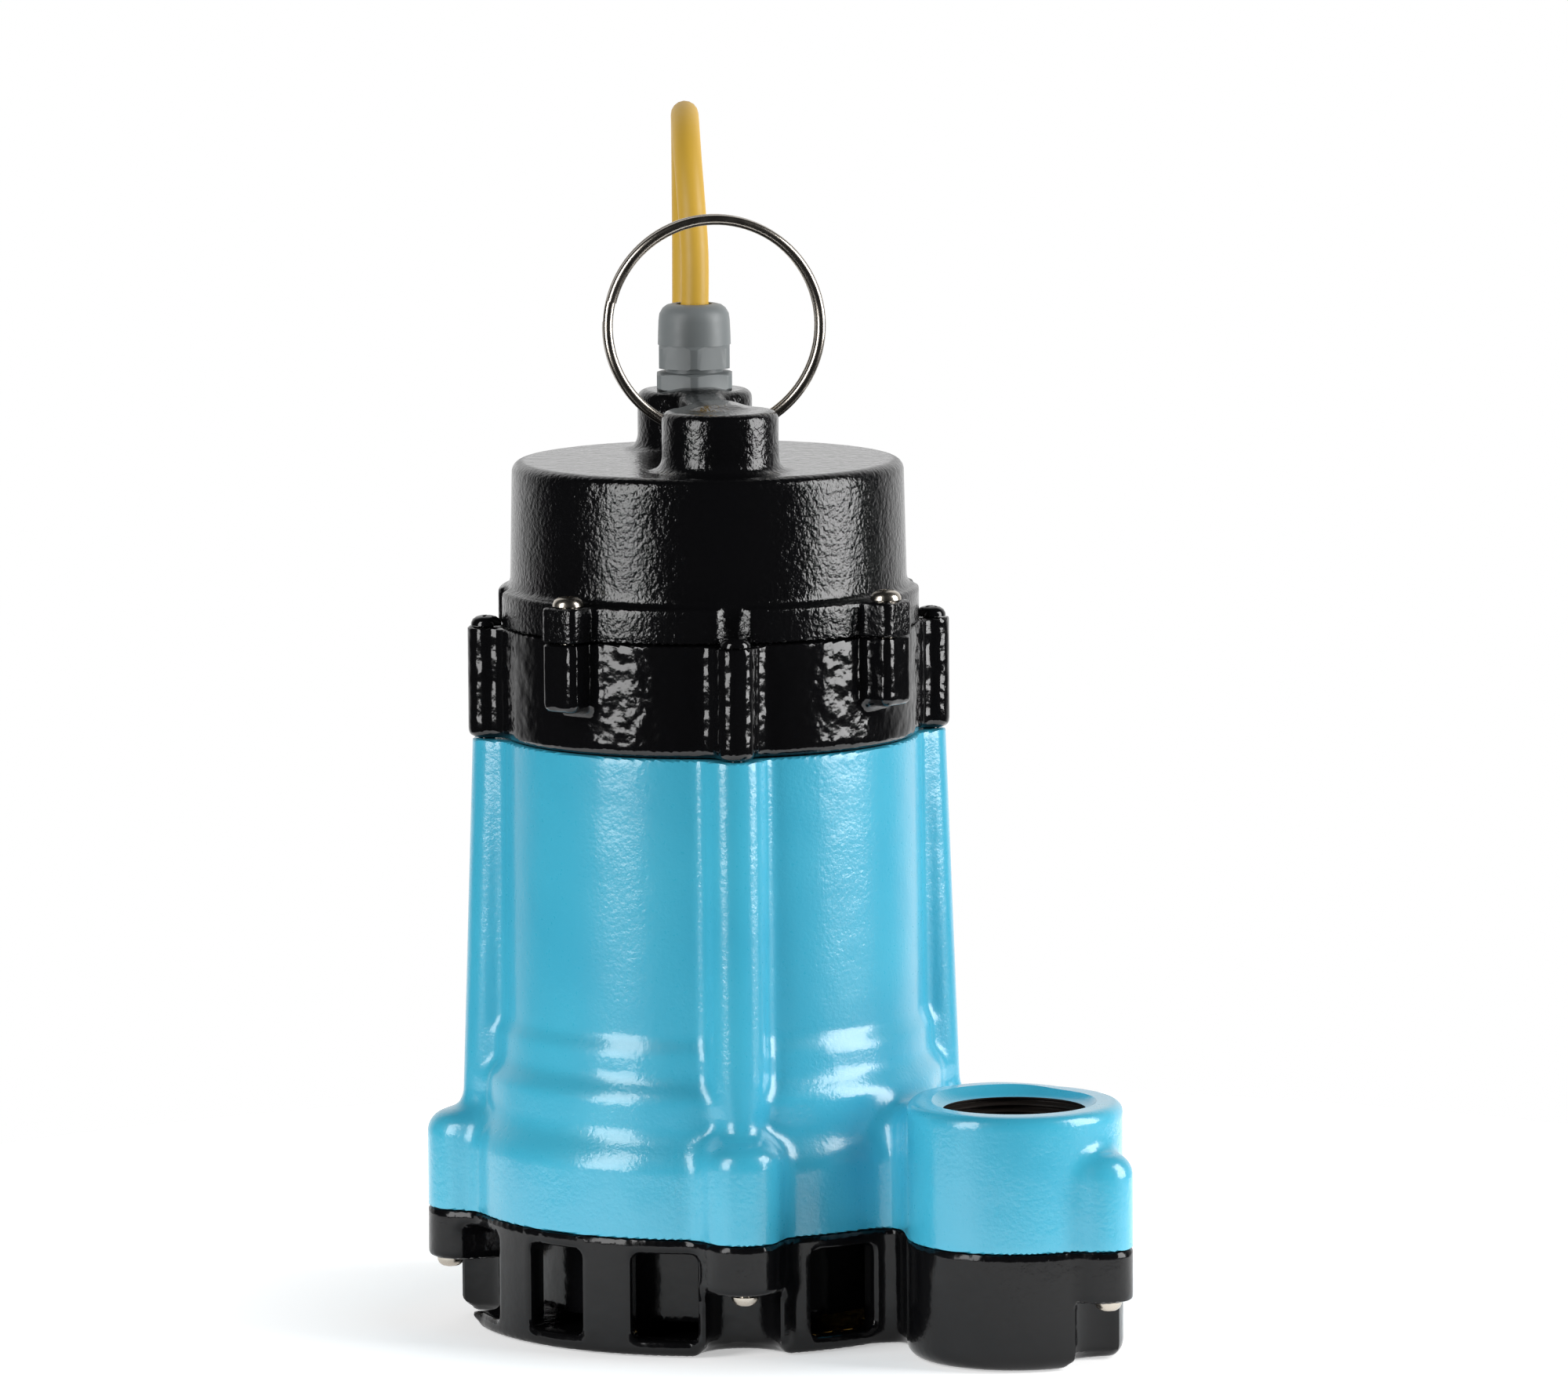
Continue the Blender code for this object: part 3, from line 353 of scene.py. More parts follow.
CELL = 1.2  # millimetres
BLOCK = 8  # cells along a block
BLOCKS_AT_ONCE = 400
SLOPE_STEP = 0.1
CORNERS = (-135, -45, 45, 135)  # where the ribs, ears and bracket lugs stand
QUARTERS = (0, 90, 180, -90)  # where the cap is screwed down
SETTLING_STEPS = 3


def soft_max(a, b, blend):
    """The larger of two distances, with a fillet where they come within blend of each other."""
    near = np.maximum(blend - np.abs(a - b), 0.0) / blend
    return np.maximum(a, b) + near * near * blend / 4


def soft_min(a, b, blend):
    return -soft_max(-a, -b, blend)


def rounded(across, along, edge):
    """The distance to a shape from those to its side and to its ends, with its rims rounded."""
    a, b = across + edge, along + edge
    return np.hypot(np.maximum(a, 0), np.maximum(b, 0)) + np.minimum(np.maximum(a, b), 0) - edge


def between(z, low, high):
    """The distance outside a span."""
    return np.maximum(low - z, z - high)


def along_across(x, y, degrees):
    """Coordinates along and across a direction in plan."""
    c, s = math.cos(math.radians(degrees)), math.sin(math.radians(degrees))
    return x * c + y * s, y * c - x * s


def nose(x, y, degrees, centre, radius):
    """A straight-sided lobe in plan, from the axis to a round nose about centre."""
    u, v = along_across(x, y, degrees)
    return np.hypot(np.maximum(u - centre, 0), v) - radius + np.maximum(-u, 0)


def rod(x, y, z, at, radius, low, high, edge):
    """An upright cylinder with rounded rims."""
    return rounded(np.hypot(x - at[0], y - at[1]) - radius, between(z, low, high), edge)


def slab(x, y, z, low, high, edge, degrees=0.0):
    """A block between two corners, with rounded edges, turned about the axis."""
    u, v = along_across(x, y, degrees)
    plan = rounded(between(u, low[0], high[0]), between(v, low[1], high[1]), edge)
    return rounded(plan, between(z, low[2], high[2]), edge)


def smoothed(table, width):
    """A function through a table of (level, value), smoothed over about width."""
    step = 0.25
    levels = np.arange(table[0][0] - 30, table[-1][0] + 30, step)
    values = np.interp(levels, *np.transpose(table))
    reach = int(3 * width / step)
    weights = np.exp(-0.5 * (np.arange(-reach, reach + 1) * step / width) ** 2)
    smooth = np.convolve(np.pad(values, reach, "edge"), weights / weights.sum(), "valid")
    return lambda z: np.interp(z, levels, smooth)


def sampled(field, low, high):
    """The field on a grid. Blocks that the surface can't reach keep the value at their middle."""
    blocks = np.ceil((high - low) / (CELL * BLOCK)).astype(int)
    corners = np.indices(blocks).reshape(3, -1).T * BLOCK
    middles = low + (corners + BLOCK / 2) * CELL
    coarse = field(*middles.T)
    values = np.broadcast_to(coarse[:, None, None, None], (len(coarse), BLOCK, BLOCK, BLOCK)).copy()
    near = np.flatnonzero(np.abs(coarse) < 1.2 * CELL * BLOCK)
    inside = np.indices((BLOCK, BLOCK, BLOCK)).reshape(3, -1).T
    for part in np.array_split(near, max(1, len(near) // BLOCKS_AT_ONCE)):
        points = low + (corners[part][:, None] + inside[None]) * CELL
        values[part] = field(*points.reshape(-1, 3).T).reshape(-1, BLOCK, BLOCK, BLOCK)
    grid = values.reshape(*blocks, BLOCK, BLOCK, BLOCK).transpose(0, 3, 1, 4, 2, 5)
    return grid.reshape(blocks * BLOCK)


def shifted(grid, offset):
    """The grid seen from each cell's corner at the offset."""
    return grid[tuple(slice(o, n - 1 + o) for o, n in zip(offset, grid.shape))]


def crossings(grid, cells):
    """The mean of the points where the surface crosses each cell's edges, in cells."""
    total = np.zeros((len(cells), 3))
    count = np.zeros(len(cells))
    for axis in range(3):
        step = np.eye(3, dtype=int)[axis]
        for corner in np.ndindex(2, 2, 2):
            if corner[axis]:
                continue
            start = cells + corner
            a, b = grid[tuple(start.T)], grid[tuple((start + step).T)]
            crossed = (a < 0) != (b < 0)
            share = np.where(crossed, a / np.where(crossed, a - b, 1), 0)
            point = start + share[:, None] * step
            total += point * crossed[:, None]
            count += crossed
    return total / count[:, None]


def quads(grid, index):
    """One face for each grid edge that the surface crosses, wound to face outwards."""
    found = []
    for axis in range(3):
        first, second = (axis + 1) % 3, (axis + 2) % 3
        spans = [slice(1, n - 1) for n in grid.shape]
        spans[axis] = slice(0, grid.shape[axis] - 1)
        ahead = list(spans)
        ahead[axis] = slice(1, grid.shape[axis])
        a, b = grid[tuple(spans)] < 0, grid[tuple(ahead)] < 0
        at = np.argwhere(a != b) + [s.start for s in spans]
        outward = grid[tuple(at.T)] < 0
        ring = []
        for back in ((1, 1), (0, 1), (0, 0), (1, 0)):
            cell = at.copy()
            cell[:, first] -= back[0]
            cell[:, second] -= back[1]
            ring.append(index[tuple(cell.T)])
        ring = np.stack(ring, 1)
        found.append(np.where(outward[:, None], ring, ring[:, ::-1]))
    return np.concatenate(found)


def settled(field, points):
    """The points moved onto the surface along the field's slope."""
    for _ in range(SETTLING_STEPS):
        value = field(*points.T)
        slope = np.stack([(field(*(points + step).T) - field(*(points - step).T)) / (2 * SLOPE_STEP)
                          for step in np.eye(3) * SLOPE_STEP], 1)
        move = value[:, None] * slope / np.maximum((slope * slope).sum(1), 0.3)[:, None]
        length = np.linalg.norm(move, axis=1)
        points = points - move * np.minimum(1, 0.5 * CELL / np.maximum(length, 1e-9))[:, None]
    return points


def mesh_of(field, low, high):
    """The field's surface between two corners, as quads whose points lie on it."""
    low = np.array(low, float) - 2 * CELL
    grid = sampled(field, low, np.array(high, float) + 2 * CELL)
    inside = sum(shifted((grid < 0).astype(np.int8), corner) for corner in np.ndindex(2, 2, 2))
    cells = np.argwhere((inside > 0) & (inside < 8))
    index = np.full(inside.shape, -1)
    index[tuple(cells.T)] = np.arange(len(cells))
    points = settled(field, low + crossings(grid, cells) * CELL)
    mesh = bpy.data.meshes.new("field")
    mesh.from_pydata((points * MM).tolist(), [], quads(grid, index).tolist())
    return mesh


# --- Making pieces ----------------------------------------------------------------------------------------

SHARP_ANGLE = math.radians(35)


def finished(mesh, finish):
    """Gives the mesh its only material and its smooth faces, with sharp edges kept."""
    mesh.materials.clear()
    mesh.materials.append(finish)
    smooth_with_sharp_edges(mesh)


def smooth_with_sharp_edges(mesh):
    mesh.shade_smooth()
    mesh.set_sharp_from_angle(angle=SHARP_ANGLE)


def place_piece(name, mesh, finish, node):
    """A piece that rides on the pump's body for a CAD node. Materials left by a Boolean stay."""
    piece = add_object(name, mesh)
    if any(mesh.materials):
        smooth_with_sharp_edges(mesh)
    else:
        finished(mesh, finish)
    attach(piece, "pump_body")
    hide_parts(node)


def lathe(profile, steps=96, at=(0.0, 0.0)):
    """A profile of (radius, z) turned round an upright axis. It starts and ends on the axis, or closes."""
    shape = bmesh.new()
    on_axis = profile[0][0] == 0 and profile[-1][0] == 0
    rings = []
    for radius, z in profile:
        if radius == 0:
            rings.append([shape.verts.new((at[0], at[1], z))] * steps)
        else:
            rings.append([shape.verts.new(polar(radius, 360 * i / steps, z) + Vector((*at, 0)))
                          for i in range(steps)])
    pairs = list(zip(rings, rings[1:])) + ([] if on_axis else [(rings[-1], rings[0])])
    for upper, lower in pairs:
        for i in range(steps):
            j = (i + 1) % steps
            corners = dict.fromkeys((upper[i], lower[i], lower[j], upper[j]))
            shape.faces.new(corners)
    bmesh.ops.recalc_face_normals(shape, faces=shape.faces)
    return scaled_mesh(shape)


def scaled_mesh(shape):
    """The mesh of a bmesh that was made in millimetres."""
    bmesh.ops.scale(shape, vec=(MM, MM, MM), verts=shape.verts)
    mesh = bpy.data.meshes.new("made")
    shape.to_mesh(mesh)
    shape.free()
    return mesh


def cylinder_mesh(spots, radius, low, high, sides=48):
    shape = bmesh.new()
    for at in spots:
        bmesh.ops.create_cone(shape, cap_ends=True, segments=sides, radius1=radius, radius2=radius,
                              depth=high - low, matrix=Matrix.Translation((at[0], at[1], (low + high) / 2)))
    return scaled_mesh(shape)


def box_mesh(low, high, matrix=None):
    shape = bmesh.new()
    size, middle = Vector(high) - Vector(low), (Vector(high) + Vector(low)) / 2
    placed = Matrix.Translation(middle) @ Matrix.Diagonal((*size, 1.0))
    bmesh.ops.create_cube(shape, size=1.0, matrix=placed if matrix is None else matrix @ placed)
    return scaled_mesh(shape)


def combined(mesh, operation, *others):
    """The mesh after a Boolean with each of the others in turn."""
    body = add_object("body", mesh)
    for other in others:
        modifier = body.modifiers.new("boolean", "BOOLEAN")
        modifier.operation = operation
        modifier.solver = "EXACT"
        modifier.material_mode = "TRANSFER"
        modifier.object = add_object("tool", other)
    graph = bpy.context.evaluated_depsgraph_get()
    result = bpy.data.meshes.new_from_object(body.evaluated_get(graph), depsgraph=graph)
    for modifier in list(body.modifiers):
        bpy.data.objects.remove(modifier.object)
    bpy.data.objects.remove(body)
    return result


def cut(mesh, *others):
    return combined(mesh, "DIFFERENCE", *others)


def places(radius, angles):
    """Plan positions on a circle round the shaft."""
    return [tuple(polar(radius, angle)[:2]) for angle in angles]


# --- Castings ---------------------------------------------------------------------------------------------

BASE_TOP = 36.3
BRACKET_BOTTOM = 184.0
CAP_BOTTOM = 219.0
FLANGE_TOP = 229.9
CAP_TOP = 269.4
HANDLE_TOP = 288.0
GAP = 0.3  # at each joint between castings
JOINT_EDGE = 0.8

VOLUTE_RADIUS = 75.2
VOLUTE_SWELL = 2.0
VOLUTE_ANGLE = -80.0  # where the volute is widest
VOLUTE_TOP = 65.0
HOUSING_START = 20.0  # below the base's top, so that only the joint's plane ends the shape
BOSS_AT = (118.0, 0.0)
BOSS_RADIUS = 33.3
BOSS_TOP = 78.7
BOSS_BORE = 22.3
NECK_NEAR = (55.0, -9.0)
NECK_FAR = (112.0, 27.0)
TOE_REACH = 32.6  # from the boss's axis to the toe's
TOE_RADIUS = 10.0
EAR_CENTRE = 77.6
EAR_RADIUS = 12.0
EAR_BOTTOM = 20.5

OUTLET_SCREW_X = 153.5
BASE_SCREW_CIRCLE = 82.8
LUG_SCREW_CIRCLE = 69.7
CAP_SCREW_CIRCLE = 69.5
BASE_HOLE = 2.4
CAP_HOLE = 2.7
MOTOR_BORE = 58.5

BASE_START = 60.0  # above the base's top
BASE_CAVITY = 70.0
SUCTION_EYE = 22.0
LEG_CENTRE = 72.0
LEG_HALF_WIDTH = 15.5
LEG_RADIUS = 79.2
LEG_SLOPE = 1.8
SCREW_RECESS = 11.5
RECESS_CENTRE = 77.5
RECESS_WALL = 15.5
SKIRT = (56.5, 60.2)
SKIRT_BOTTOM = 8.0
WINDOWS = ((-120, 21), (-91.5, 21), (-63, 21), (-19.5, 23), (63, 21), (91.5, 21), (120, 21), (180, 21))
WINDOW_HEIGHTS = (5.0, 32.0)
WINDOW_SPAN = (62.0, 84.0)

BRACKET_RADIUS = 66.0
LUG_RADIUS = 5.8
PAD_BOTTOM = 197.5
CAP_WALL = 61.75
CAP_DRAUGHT = 0.75
FLANGE_RADIUS = 65.5
FLANGE_NOTCH = 6.5
HANDLE_ANGLE = -45.0
POST_OFFSET = 34.0
POST_RADIUS = 18.0
WEB_HALF_WIDTH = 6.3
HANDLE_EDGE = 2.8
LIFT_PIVOT_Z = 277.6
LIFT_EYE = 6.2

THREAD_PITCH = 2.21
THREAD_DEPTH = 1.35
THREAD_END = 60.0
THREAD_CREST = BOSS_BORE - 0.3
THREAD_START = BOSS_TOP - 2.4

# Radii, reaches and half widths by level
BODY = smoothed(((60, 72.4), (72, 72.3), (78.5, 72.2), (80, 71.6), (84, 69.0), (85.5, 68.5), (92.5, 68.2),
                 (93.5, 67.9), (96, 66.8), (97, 66.4), (184, 65.5)), 0.7)
RIB_REACH = smoothed(((36, 78.6), (72, 78.2), (184, 74.2)), 1.0)
RIB_HALF = smoothed(((36, 5.5), (69, 5.5), (84, 8.6), (184, 8.6)), 1.5)


def volute(x, y):
    """The distance outside the volute's wall, which swells and shrinks round its spiral."""
    r = np.hypot(x, y)
    swell = along_across(x, y, VOLUTE_ANGLE)[0] / np.maximum(r, 1)
    return r - VOLUTE_RADIUS - VOLUTE_SWELL * swell


def housing_field(x, y, z):
    r = np.hypot(x, y)
    shape = soft_min(r - BODY(z), rounded(volute(x, y), between(z, HOUSING_START, VOLUTE_TOP), 8.0), 6.0)
    for at in CORNERS:
        half = RIB_HALF(z)
        rib = nose(x, y, at, RIB_REACH(z) - half, half)
        shape = soft_min(shape, rib, 5.0)
        ear = rounded(nose(x, y, at, EAR_CENTRE, EAR_RADIUS), between(z, HOUSING_START, 67.0), 7.0)
        shape = soft_min(shape, ear, 7.0)
    outlet = rod(x, y, z, BOSS_AT, BOSS_RADIUS, HOUSING_START, BOSS_TOP, 3.2)
    neck = slab(x, y, z, (*NECK_NEAR, HOUSING_START), (*NECK_FAR, 72), 8.0)
    toe = nose(x - BOSS_AT[0], y, 0, TOE_REACH, TOE_RADIUS)
    toe = rounded(toe, between(z, HOUSING_START, 66.0), 7.0)
    outlet = soft_min(soft_min(outlet, toe, 4.0), neck, 14.0)
    shape = soft_min(shape, outlet, 10.0)
    return soft_max(shape, between(z, BASE_TOP + GAP, BRACKET_BOTTOM - GAP), JOINT_EDGE)


def legs_and_recesses(x, y, z):
    """The base's screw ears, its legs below them, the recesses for the screws and the walls round those."""
    r = np.hypot(x, y)
    ears, legs, walls = (np.full_like(r, 99.0) for _ in range(3))
    recesses = np.hypot(x - OUTLET_SCREW_X, y) - SCREW_RECESS
    for at in CORNERS:
        u, v = along_across(x, y, at)
        ears = np.minimum(ears, nose(x, y, at, EAR_CENTRE, EAR_RADIUS))
        legs = np.minimum(legs, nose(x, y, at, LEG_CENTRE, LEG_HALF_WIDTH))
        recesses = np.minimum(recesses, np.hypot(u - RECESS_CENTRE, v) - SCREW_RECESS)
        walls = np.minimum(walls, np.hypot(u - RECESS_CENTRE, v) - RECESS_WALL)
    legs = soft_max(rounded(legs, between(z, 0, EAR_BOTTOM + 4), 2.0), r - LEG_RADIUS, 2.5)
    legs = soft_max(legs, r - 72.5 - LEG_SLOPE * np.maximum(z, 0), 3.0)
    return ears, legs, recesses - np.maximum(3.0 - z, 0), walls


def intake_hollow(x, y, z, walls):
    """The chamber inside the base, clear of the screws' walls and the skirt, with its windows."""
    r = np.hypot(x, y)
    skirt = np.maximum(between(r, *SKIRT), SKIRT_BOTTOM - z)
    hollow = np.maximum(np.maximum(r - BASE_CAVITY, between(z, 4, 32.3)), np.maximum(-walls, -skirt))
    for at, width in WINDOWS:
        u, v = along_across(x, y, at)
        opening = rounded(between(v, -width / 2, width / 2), between(z, *WINDOW_HEIGHTS), 2.6)
        hollow = np.minimum(hollow, np.maximum(opening, between(u, *WINDOW_SPAN)))
    return hollow


def base_field(x, y, z):
    column = rounded(volute(x, y), between(z, 0, BASE_START), 2.0)
    ears, legs, recesses, walls = legs_and_recesses(x, y, z)
    shape = soft_min(column, rounded(ears, between(z, EAR_BOTTOM, BASE_START), 2.0), 8.0)
    shape = soft_min(shape, legs, 2.0)
    foot = rod(x, y, z, BOSS_AT, BOSS_RADIUS, 0, BASE_START, 5.0)
    neck = slab(x, y, z, (*NECK_NEAR, 0), (*NECK_FAR, BASE_START), 4.0)
    toe = rounded(nose(x - BOSS_AT[0], y, 0, TOE_REACH, TOE_RADIUS), between(z, 0.5, BASE_START), 2.5)
    shape = soft_min(shape, soft_min(soft_min(foot, toe, 3.0), neck, 9.0), 7.0)
    shape = soft_max(shape, -np.maximum(recesses, z - EAR_BOTTOM), 1.6)
    shape = soft_max(shape, -intake_hollow(x, y, z, walls), 1.8)
    return soft_max(shape, between(z, 0, BASE_TOP), JOINT_EDGE)


def bracket_field(x, y, z):
    shape = np.hypot(x, y) - BRACKET_RADIUS
    for at in CORNERS:
        shape = soft_min(shape, nose(x, y, at, LUG_SCREW_CIRCLE, LUG_RADIUS), 6.0)
    for at in QUARTERS:
        pad = slab(x, y, z, (50, -6.5, PAD_BOTTOM), (75.2, 6.5, 240), 2.6, at)
        shape = soft_min(shape, pad, 3.0)
    shape = soft_max(shape, BRACKET_BOTTOM - z, 3.0)
    return soft_max(shape, z - (CAP_BOTTOM - GAP), JOINT_EDGE)


def cap_field(x, y, z):
    r = np.hypot(x, y)
    wall = CAP_WALL - CAP_DRAUGHT * np.clip((z - 232) / 34, 0, 1)
    flange = r - FLANGE_RADIUS
    for at in QUARTERS:
        u, v = along_across(x, y, at)
        flange = soft_min(flange, rounded(between(u, 50, 75.4), between(v, -6.6, 6.6), 2.6), 2.5)
    shape = soft_min(rounded(r - wall, between(z, 200, CAP_TOP), 3.5),
                     rounded(flange, between(z, 200, FLANGE_TOP), 1.3), 3.5)
    for at in CORNERS:
        u, v = along_across(x, y, at)
        shape = soft_max(shape, FLANGE_NOTCH - np.hypot(u - LUG_SCREW_CIRCLE + 0.4, v), 1.0)
    u, v = along_across(x, y, HANDLE_ANGLE)
    posts = np.hypot(np.abs(u) - POST_OFFSET, v) - POST_RADIUS
    posts = rounded(posts, between(z, 250, HANDLE_TOP), HANDLE_EDGE)
    web = slab(x, y, z, (-POST_OFFSET, -WEB_HALF_WIDTH, 250), (POST_OFFSET, WEB_HALF_WIDTH, HANDLE_TOP),
               HANDLE_EDGE, HANDLE_ANGLE)
    shape = soft_min(shape, soft_min(posts, web, 6.0), 5.0)
    shape = soft_max(shape, LIFT_EYE - np.hypot(u, z - LIFT_PIVOT_Z), 2.0)
    return soft_max(shape, CAP_BOTTOM - z, JOINT_EDGE)


def make_base(finish):
    mesh = mesh_of(base_field, (-90, -90, 0), (161, 90, BASE_TOP))
    eye = cylinder_mesh([(0, 0)], SUCTION_EYE, 20, 45, 96)
    bowl = lathe([(0, 40), (22, 40), (22, 26), (18, 18), (10, 14), (0, 13)], at=BOSS_AT)
    holes = cylinder_mesh(places(BASE_SCREW_CIRCLE, CORNERS) + [(OUTLET_SCREW_X, 0)], BASE_HOLE, 10, 45, 24)
    place_piece("base_casting", cut(mesh, eye, bowl, holes), finish, "base_strainer")


def thread_profile():
    """The outlet's chamfered mouth and its pipe thread, as rings cut into the bore."""
    root = THREAD_CREST + THREAD_DEPTH
    profile = [(0, 90), (BOSS_BORE + 14.3, 90), (BOSS_BORE + 3.0, BOSS_TOP),
               (BOSS_BORE + 1.6, BOSS_TOP - 1.6)]
    level = THREAD_START
    while level > THREAD_END:
        profile += [(THREAD_CREST, level), (THREAD_CREST, level - 0.35),
                    (root, level - THREAD_PITCH / 2 - 0.1), (root, level - THREAD_PITCH / 2 - 0.3)]
        level -= THREAD_PITCH
    return [*profile, (THREAD_CREST, level), (THREAD_CREST, 30), (0, 30)]


def threaded_bore(bare, painted):
    """The outlet's cutter, which leaves bare metal in the thread and paint on the mouth."""
    bore = lathe(thread_profile(), at=BOSS_AT)
    bore.materials.append(bare)
    bore.materials.append(painted)
    for face in bore.polygons:
        face.material_index = int(face.center.z > THREAD_START * MM)
    return bore


def make_housing(finish, bare):
    mesh = mesh_of(housing_field, (-90, -90, BASE_TOP), (161, 90, BRACKET_BOTTOM))
    motor = lathe([
        (0, 190), (MOTOR_BORE, 190), (MOTOR_BORE, 82), (52, 76), (27, 76), (26, 90.6), (20.3, 90.6),
        (20.3, 78), (9.4, 78), (9.4, 70), (0, 70)])
    chamber = lathe([
        (0, 73.9), (16.3, 73.9), (16.3, 66), (45, 66), (60, 63), (66, 56), (66, 30), (0, 30)])
    passage = box_mesh((50, -3, 40), (118, 21, 60))
    groove = lathe([(63.4, 190), (63.4, BRACKET_BOTTOM - 2.6), (60.4, BRACKET_BOTTOM - 2.6), (60.4, 190)])
    low = cylinder_mesh(places(BASE_SCREW_CIRCLE, CORNERS) + [(OUTLET_SCREW_X, 0)], BASE_HOLE, 30, 53, 24)
    top = cylinder_mesh(places(LUG_SCREW_CIRCLE, CORNERS), CAP_HOLE, 158, 190, 24)
    for cutter in (motor, chamber, passage, groove, low, top):
        mesh = cut(mesh, cutter)
    mesh.materials.clear()
    mesh.materials.append(finish)
    place_piece("housing_casting", cut(mesh, threaded_bore(bare, finish)), finish, "pump_housing")


def make_bracket(finish):
    mesh = mesh_of(bracket_field, (-76, -76, BRACKET_BOTTOM), (76, 76, CAP_BOTTOM))
    upper = lathe([
        (0, 230), (MOTOR_BORE, 230), (MOTOR_BORE, 193), (23, 193), (23, 203), (17.8, 203), (17.8, 190),
        (9.4, 190), (9.4, 180), (0, 180)])
    lower = lathe([(MOTOR_BORE, 187), (MOTOR_BORE, 180), (24, 180), (24, 187)])
    groove = lathe([(63.2, 225), (63.2, CAP_BOTTOM - 2.6), (60.2, CAP_BOTTOM - 2.6), (60.2, 225)])
    web = cylinder_mesh(places(41, QUARTERS), 11, 182, 198)
    long_holes = cylinder_mesh(places(LUG_SCREW_CIRCLE, CORNERS), CAP_HOLE, 180, 225, 24)
    short_holes = cylinder_mesh(places(CAP_SCREW_CIRCLE, QUARTERS), CAP_HOLE, 203, 225, 24)
    mesh = cut(mesh, upper, lower, groove, web, long_holes, short_holes)
    place_piece("bracket_casting", mesh, finish, "bearing_bracket")


def make_cap(finish):
    mesh = mesh_of(cap_field, (-77, -77, CAP_BOTTOM), (77, 77, HANDLE_TOP))
    hollow = lathe([(0, 262), (51, 262), (55.5, 257), (55.5, 200), (0, 200)])
    gland_at = tuple(GLAND_AT[:2])
    entry = cylinder_mesh([gland_at], 5.2, 250, 295)
    counterbore = cylinder_mesh([gland_at], 10.9, HANDLE_TOP - 13, HANDLE_TOP + 5)
    holes = cylinder_mesh(places(CAP_SCREW_CIRCLE, QUARTERS), CAP_HOLE, 210, 240, 24)
    mesh = cut(mesh, hollow, entry, counterbore, holes)
    place_piece("cap_casting", mesh, finish, "top_cap")


# --- Fittings ---------------------------------------------------------------------------------------------

LIFT_WIRE = 3.2
LIFT_RADIUS = 33.2
LIFT_SLIDE = 2.3  # how far the ring hangs aside in its eye
LIFT_STEPS = 96  # for each turn of the wire
LIFT_TURNS = 1.97
LIFT_START = math.radians(177)
SCREW_HEIGHT = 3.0
GLAND_TURN = 8.0


def screw_mesh(head, shank, height, length):
    """A pan-head screw with a cross recess, its head resting at z = 0."""
    mesh = lathe([(0, height), (head * 0.35, height * 0.98), (head * 0.64, height * 0.87),
                  (head * 0.87, height * 0.62), (head * 0.98, height * 0.3), (head, height * 0.1), (head, 0),
                  (shank, 0), (shank, 1 - length), (shank * 0.5, -length), (0, -length)], steps=40)
    arms = [box_mesh((-head * 0.52, -head * 0.1, height * 0.42), (head * 0.52, head * 0.1, height + 1),
                     Matrix.Rotation(math.radians(turn), 4, "Z")) for turn in (20, 110)]
    return cut(mesh, *arms)


def make_screws(name, mesh, finish, spots, seat, upright=True):
    """One screw at each spot, each turned differently, with their heads on the seat's level."""
    finished(mesh, finish)
    flip = Matrix.Identity(4) if upright else Matrix.Rotation(math.pi, 4, "X")
    for i, at in enumerate(spots):
        screw = add_object(f"{name}_head_{i + 1}", mesh)
        turn = Matrix.Rotation(math.radians(37 * i), 4, "Z")
        screw.matrix_world = Matrix.Translation((at[0] * MM, at[1] * MM, seat * MM)) @ flip @ turn
        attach(screw, "pump_body")
        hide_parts(f"{name}_{i + 1}")


def make_lift_ring(finish):
    """Two turns of round wire side by side, like a key ring, with the wire's ends on the gland's side."""
    across, along = polar(1.0, HANDLE_ANGLE + 90), polar(1.0, HANDLE_ANGLE)
    centre = Vector((0, 0, LIFT_PIVOT_Z + LIFT_RADIUS)) + across * LIFT_SLIDE
    points = []
    for i in range(int(LIFT_STEPS * LIFT_TURNS) + 1):
        turned = i / LIFT_STEPS
        angle = 2 * math.pi * turned + LIFT_START
        jog = smoothstep((turned - 0.80) / 0.4) - 0.5
        around = across * math.cos(angle) + Vector((0, 0, 1)) * math.sin(angle)
        points.append(centre + around * LIFT_RADIUS + along * jog * (LIFT_WIRE + 0.25))
    ring = wire("lift_ring_wire", points, LIFT_WIRE / 2, finish)
    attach(ring, "lift_ring")
    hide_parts("lift_ring")


def hexagon_mesh(across_corners, at, low, high, turn):
    shape = bmesh.new()
    ring = [shape.verts.new(polar(across_corners / 2, 60 * i + turn, low) + Vector((*at, 0)))
            for i in range(6)]
    face = shape.faces.new(ring)
    raised = bmesh.ops.extrude_face_region(shape, geom=[face])
    moved = [item for item in raised["geom"] if isinstance(item, bmesh.types.BMVert)]
    bmesh.ops.translate(shape, verts=moved, vec=(0, 0, high - low))
    bmesh.ops.recalc_face_normals(shape, faces=shape.faces)
    return scaled_mesh(shape)


def chamfered_hexagon(across_corners, at, low, high, turn, drop):
    """A hexagon whose corners a cone has turned off at both ends, as on a nut."""
    corner = across_corners / 2
    flat = corner * math.cos(math.radians(30))
    turned = lathe([(0, high), (flat - 0.3, high), (corner - 0.6, high - drop), (corner - 0.6, low + 0.4),
                    (corner - 1.0, low), (0, low)], at=at)
    return combined(hexagon_mesh(across_corners, at, low - 1, high + 1, turn), "INTERSECT", turned)


